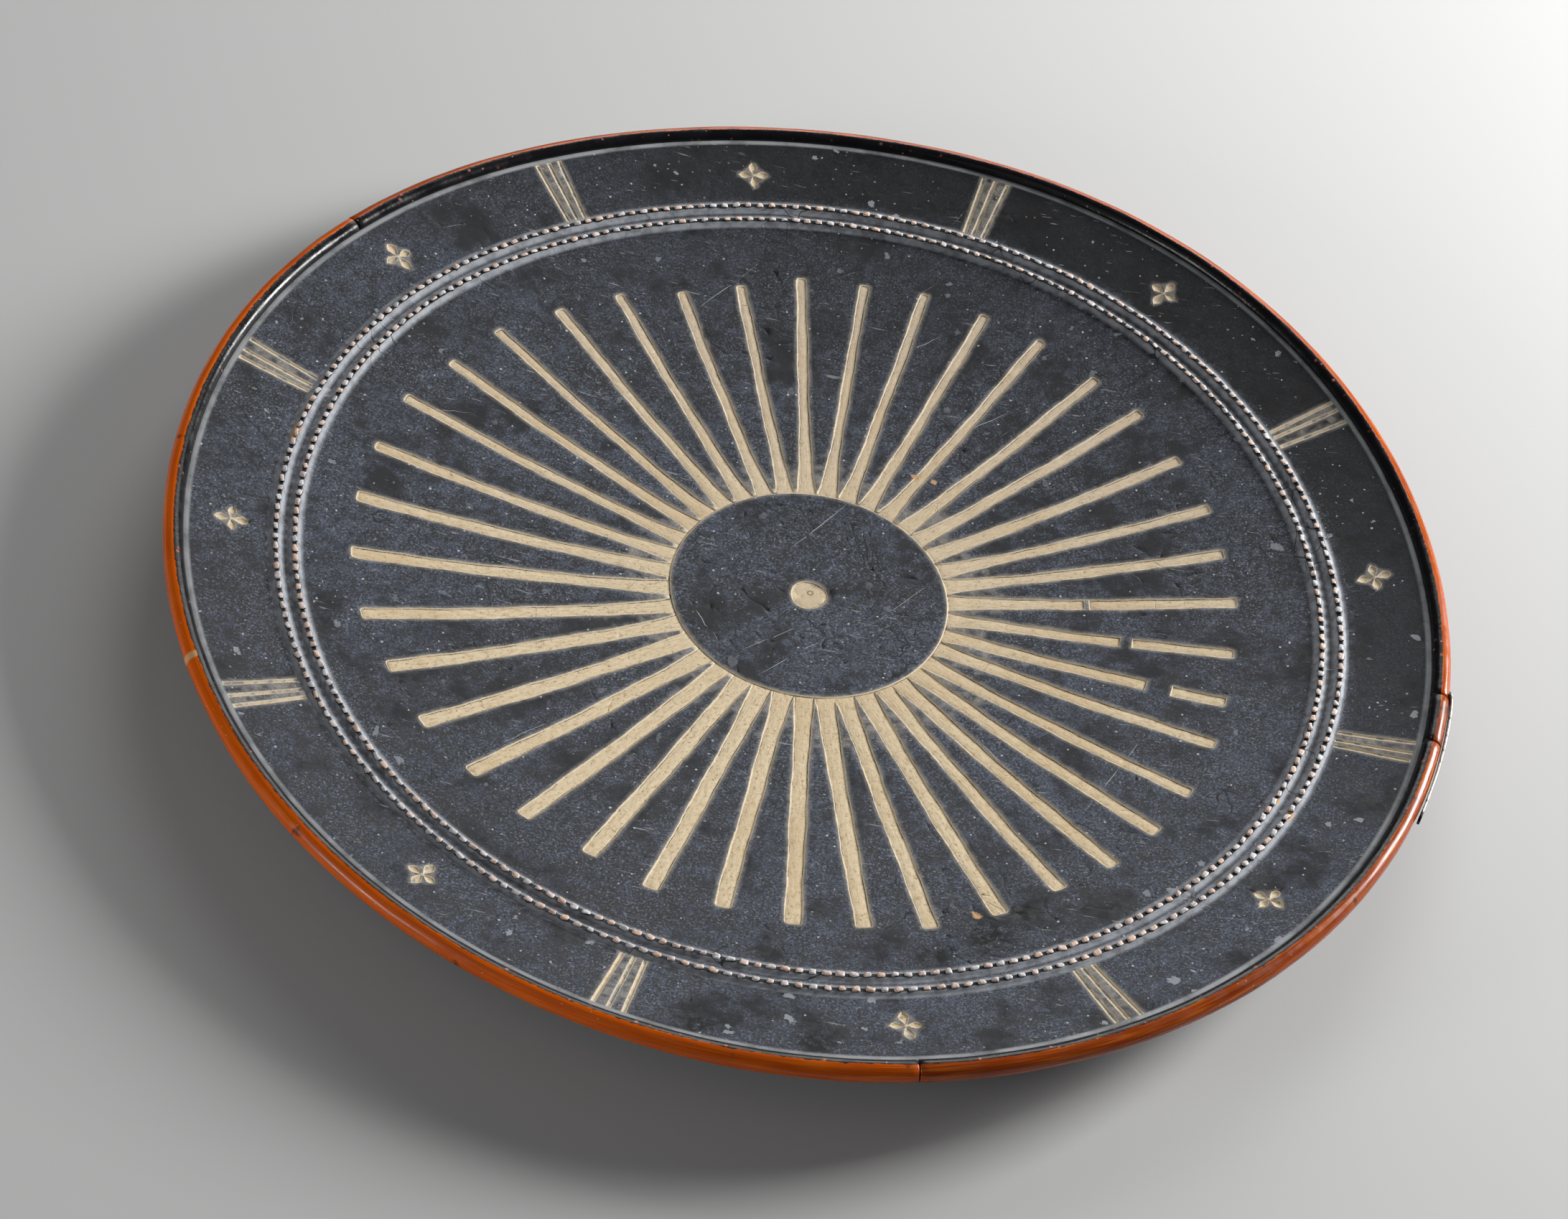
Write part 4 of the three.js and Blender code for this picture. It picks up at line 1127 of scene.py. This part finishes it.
class SHIELD_OT_lacing(bpy.types.Operator):
    """Build the two rows of rawhide stitches along the raised seams"""

    bl_idname = "shield.lacing"
    bl_label = "Lacing"

    def execute(self, context):
        scene = context.scene
        size = scene.shield_ornament
        bowl = Bowl(scene.shield_sizes, size)
        material = rawhide_lacing(scene.shield_colours)
        tree = stitch_tree(material)
        rows = {"inner": size.seam_inner, "outer": size.seam_outer}
        for number, (row, radius) in enumerate(rows.items()):
            turn = 2 * math.pi * np.arange(360) / 360
            height = float(bowl.face(radius)) + size.seam_height + 0.15 * MM
            path = np.column_stack([radius * np.cos(turn), radius * np.sin(turn), np.full(360, height)])
            path = bowl.warp(path)
            curve = bpy.data.curves.new(f"seam_{row}", "CURVE")
            curve.dimensions = "3D"
            spline = curve.splines.new("POLY")
            spline.points.add(len(path) - 1)
            spline.points.foreach_set("co", np.column_stack([path, np.ones(len(path))]).ravel())
            spline.use_cyclic_u = True
            seam = bpy.data.objects.new(f"seam_{row}", curve)
            scene.collection.objects.link(seam)
            modifier = seam.modifiers.new("stitches", "NODES")
            modifier.node_group = tree
            values = {
                "Count": size.stitch_count, "Length": size.stitch_length, "Width": size.stitch_width,
                "Height": size.stitch_height, "Seed": SEED + number,
            }
            for item in tree.interface.items_tree:
                if item.in_out == "INPUT" and item.name in values:
                    modifier[item.identifier] = values[item.name]
            graph = context.evaluated_depsgraph_get()
            mesh = bpy.data.meshes.new_from_object(seam.evaluated_get(graph), depsgraph=graph)
            mesh.name = f"stitches_{row}"
            piece = bpy.data.objects.new(f"stitches_{row}", mesh)
            scene.collection.objects.link(piece)
            bpy.data.objects.remove(seam)
            hand_over(piece, "lacing", f"lacing_{row}")
        return {"FINISHED"}


CANE_SIDES = 30
# Slight waves and roughness of the cane, and how far its skin sits inside the full thickness.
CANE_WAVE = 0.16 * MM
CANE_ROUGH = 0.06 * MM
CANE_INSET = 0.2 * MM
KNOT_SWELL = 0.3 * MM


def swept_faces(rings, count):
    """Faces of a closed outline of so many points carried through rings, with both ends capped."""
    faces = []
    for i in range(rings - 1):
        for j in range(count):
            k = (j + 1) % count
            faces.append(((i + 1) * count + j, (i + 1) * count + k, i * count + k, i * count + j))
    faces.append(tuple(range(count)))
    faces.append(tuple(range((rings - 1) * count, rings * count))[::-1])
    return faces


def cane_mesh(bowl, start, end, rng_seed):
    """Points, faces, grain map and marks of one length of cane with its slot for the lip."""
    sizes = bowl.sizes
    lip_middle = sizes.lip_above - sizes.lip_thickness / 2
    slot_half = sizes.lip_thickness / 2 + sizes.fit_gap
    low = -math.pi + math.asin((slot_half - lip_middle) / bowl.cane_radius)
    high = math.pi - math.asin((slot_half + lip_middle) / bowl.cane_radius)
    around = np.linspace(low, high, CANE_SIDES + 1)
    pull = math.degrees(sizes.joint_gap / 2 / sizes.radius)
    first, last = start + pull, end - pull
    turns = np.linspace(first, last, max(8, int((last - first) / 0.7)))
    chamfer = math.degrees(0.5 * MM / sizes.radius)
    turns = np.concatenate([[first], turns[:1] + chamfer, turns[1:-1], turns[-1:] - chamfer, [last]])
    slot_end = bowl.lip_end + sizes.fit_gap
    points, knots = [], []
    for i, turn in enumerate(turns):
        angle = math.radians(turn)
        shrink = 0.94 if i in (0, len(turns) - 1) else 1.0
        knot = math.exp(-((turn - CANE_KNOT_TURN) / 0.3) ** 2)
        swollen = KNOT_SWELL * math.exp(-((turn - CANE_KNOT_TURN) / 1.2) ** 2)
        for a in around:
            wave = noise.noise(Vector((turn * 0.22, a * 1.3, rng_seed)))
            fine = noise.noise(Vector((turn * 2.1, a * 2.0, rng_seed + 4)))
            radius = bowl.cane_radius + CANE_WAVE * wave + CANE_ROUGH * fine - CANE_INSET
            radius = radius * shrink + swollen
            out = bowl.cane_line + radius * math.cos(a)
            height = bowl.cane_height + radius * math.sin(a)
            points.append((out * math.cos(angle), out * math.sin(angle), height))
            knots.append(knot)
        for side in (1, -1):
            height = bowl.cane_height + lip_middle + side * slot_half
            points.append((slot_end * math.cos(angle), slot_end * math.sin(angle), height))
            knots.append(0)
    ring = CANE_SIDES + 3
    faces = swept_faces(len(turns), ring)
    across = np.concatenate([around, [high + 0.3, high + 0.6]])
    along = np.radians(turns) * bowl.cane_line
    grain = np.column_stack([np.repeat(along, ring), np.tile(across * bowl.cane_radius, len(turns))])
    return bowl.warp(points), faces, grain, np.tile(across, len(turns)), np.repeat(turns, ring), knots


class SHIELD_OT_cane(bpy.types.Operator):
    """Build the four lengths of cane around the rim"""

    bl_idname = "shield.cane"
    bl_label = "Rim cane"

    def execute(self, context):
        scene = context.scene
        bowl = Bowl(scene.shield_sizes, scene.shield_ornament)
        material = varnished_cane(scene.shield_colours)
        for number, (node, (start, end)) in enumerate(CANE_TURNS.items()):
            points, faces, grain, across, turns, knots = cane_mesh(bowl, start, end, number * 11.3)
            piece = new_piece(node.replace("rim_cane", "cane"), points, faces, material)
            layer = piece.data.uv_layers.new(name="grain")
            corner = np.empty(len(piece.data.loops), np.int32)
            piece.data.loops.foreach_get("vertex_index", corner)
            layer.data.foreach_set("uv", grain[corner].astype(np.float32).ravel())
            redness = np.full(len(turns), CANE_REDNESS[node])
            if node == "rim_cane_left":
                redness += 0.35 * np.exp(-((turns - end) / 20) ** 2)
            store(piece, "redness", redness)
            store(piece, "inward", across - math.radians(92))
            store(piece, "knot", knots)
            hand_over(piece, "cane", node)
        return {"FINISHED"}


class SHIELD_OT_strip(bpy.types.Operator):
    """Build the thin metal strip that mends the rim"""

    bl_idname = "shield.strip"
    bl_label = "Mending strip"

    def execute(self, context):
        scene = context.scene
        sizes = scene.shield_sizes
        bowl = Bowl(sizes, scene.shield_ornament)
        turns = np.linspace(*STRIP_TURNS, 46)
        inside = sizes.radius + sizes.fit_gap
        half, thick, corner = sizes.strip_height / 2, sizes.strip_thickness, 0.35 * MM
        profile = [
            (0, -half + corner), (corner, -half), (thick - corner, -half), (thick, -half + corner),
            (thick, half - corner), (thick - corner, half), (corner, half), (0, half - corner),
        ]
        points, dark = [], []
        for turn in turns:
            # The upper end is bent in over the cane joint, and the lower end stands off a little.
            bend = max(0.0, (turn - STRIP_BENT_FROM) / 1.3)
            stand = 0.5 * MM * max(0.0, (STRIP_OFF_BELOW - turn) / 3.5)
            taper = 1 - 0.35 * bend
            for out, rise in profile:
                radius = inside + out + stand - 1.6 * MM * bend ** 2
                height = bowl.cane_height + rise * taper + 3.4 * MM * bend ** 2
                angle = math.radians(turn)
                points.append((radius * math.cos(angle), radius * math.sin(angle), height))
                dark.append(1.0 if turn < STRIP_BLACK_BELOW else 0.0)
        faces = swept_faces(len(turns), len(profile))
        piece = new_piece("strip", bowl.warp(points), faces, tarnished_strip(scene.shield_colours))
        store(piece, "blackened", dark)
        hand_over(piece, "strip", "mending_strip")
        return {"FINISHED"}


class SHIELD_OT_stage(bpy.types.Operator):
    """Set out the pale floor, the soft lights and the camera"""

    bl_idname = "shield.stage"
    bl_label = "Stage"

    def execute(self, context):
        scene = context.scene
        corners = [(x * FLOOR_HALF, y * FLOOR_HALF, 0) for x, y in ((-1, -1), (1, -1), (1, 1), (-1, 1))]
        floor = new_piece("floor", corners, [(0, 1, 2, 3)], pale_floor(scene.shield_colours))
        for name, (place, size, power) in LAMPS.items():
            light = bpy.data.lights.new(name, "AREA")
            light.size = size
            light.energy = power
            lamp = bpy.data.objects.new(name, light)
            lamp.location = place
            lamp.rotation_euler = (Vector(LAMP_AIM) - Vector(place)).to_track_quat("-Z", "Y").to_euler()
            scene.collection.objects.link(lamp)
        world = bpy.data.worlds.new("studio")
        world.use_nodes = True
        sky = world.node_tree.nodes["Background"].inputs
        sky["Color"].default_value = linear("#D6DAE0")
        sky["Strength"].default_value = WORLD_STRENGTH
        scene.world = world
        scene.view_settings.view_transform = "Standard"

        place = Vector(CAMERA_PLACE)
        camera = bpy.data.objects.new("camera", bpy.data.cameras.new("camera"))
        scene.collection.objects.link(camera)
        camera.data.lens = CAMERA_LENS
        camera.data.sensor_width = CAMERA_SENSOR
        camera.data.dof.use_dof = False
        look = (Vector(CAMERA_AIM) - place).to_track_quat("-Z", "Y").to_matrix().to_4x4()
        roll = Matrix.Rotation(math.radians(CAMERA_ROLL), 4, "Z")
        camera.matrix_world = Matrix.Translation(place) @ look @ roll
        scene.camera = camera
        return {"FINISHED"}


class SHIELD_PT_panel(bpy.types.Panel):
    """Lists the shield's pieces and their sizes and colours"""

    bl_idname = "SHIELD_PT_panel"
    bl_label = "Round hide shield"
    bl_space_type = "VIEW_3D"
    bl_region_type = "UI"
    bl_category = "Shield"

    def draw(self, context):
        layout = self.layout
        for operator in OPERATORS:
            layout.operator(operator.bl_idname)
        for group in (getattr(context.scene, name) for name in GROUPS):
            box = layout.box()
            for name in group.bl_rna.properties.keys():
                if name not in ("rna_type", "name"):
                    box.prop(group, name)


OPERATORS = (SHIELD_OT_hide, SHIELD_OT_lacing, SHIELD_OT_cane, SHIELD_OT_strip, SHIELD_OT_stage)
GROUPS = {"shield_sizes": ShieldSizes, "shield_ornament": OrnamentSizes, "shield_colours": ShieldColours}
CLASSES = (*GROUPS.values(), *OPERATORS, SHIELD_PT_panel)


def register():
    for cls in CLASSES:
        bpy.utils.register_class(cls)
    for name, group in GROUPS.items():
        setattr(bpy.types.Scene, name, PointerProperty(type=group))


def unregister():
    for name in GROUPS:
        delattr(bpy.types.Scene, name)
    for cls in reversed(CLASSES):
        bpy.utils.unregister_class(cls)


def main():
    register()
    bpy.ops.shield.hide()
    bpy.ops.shield.lacing()
    bpy.ops.shield.cane()
    bpy.ops.shield.strip()
    bpy.ops.shield.stage()


if __name__ == "__main__":
    main()
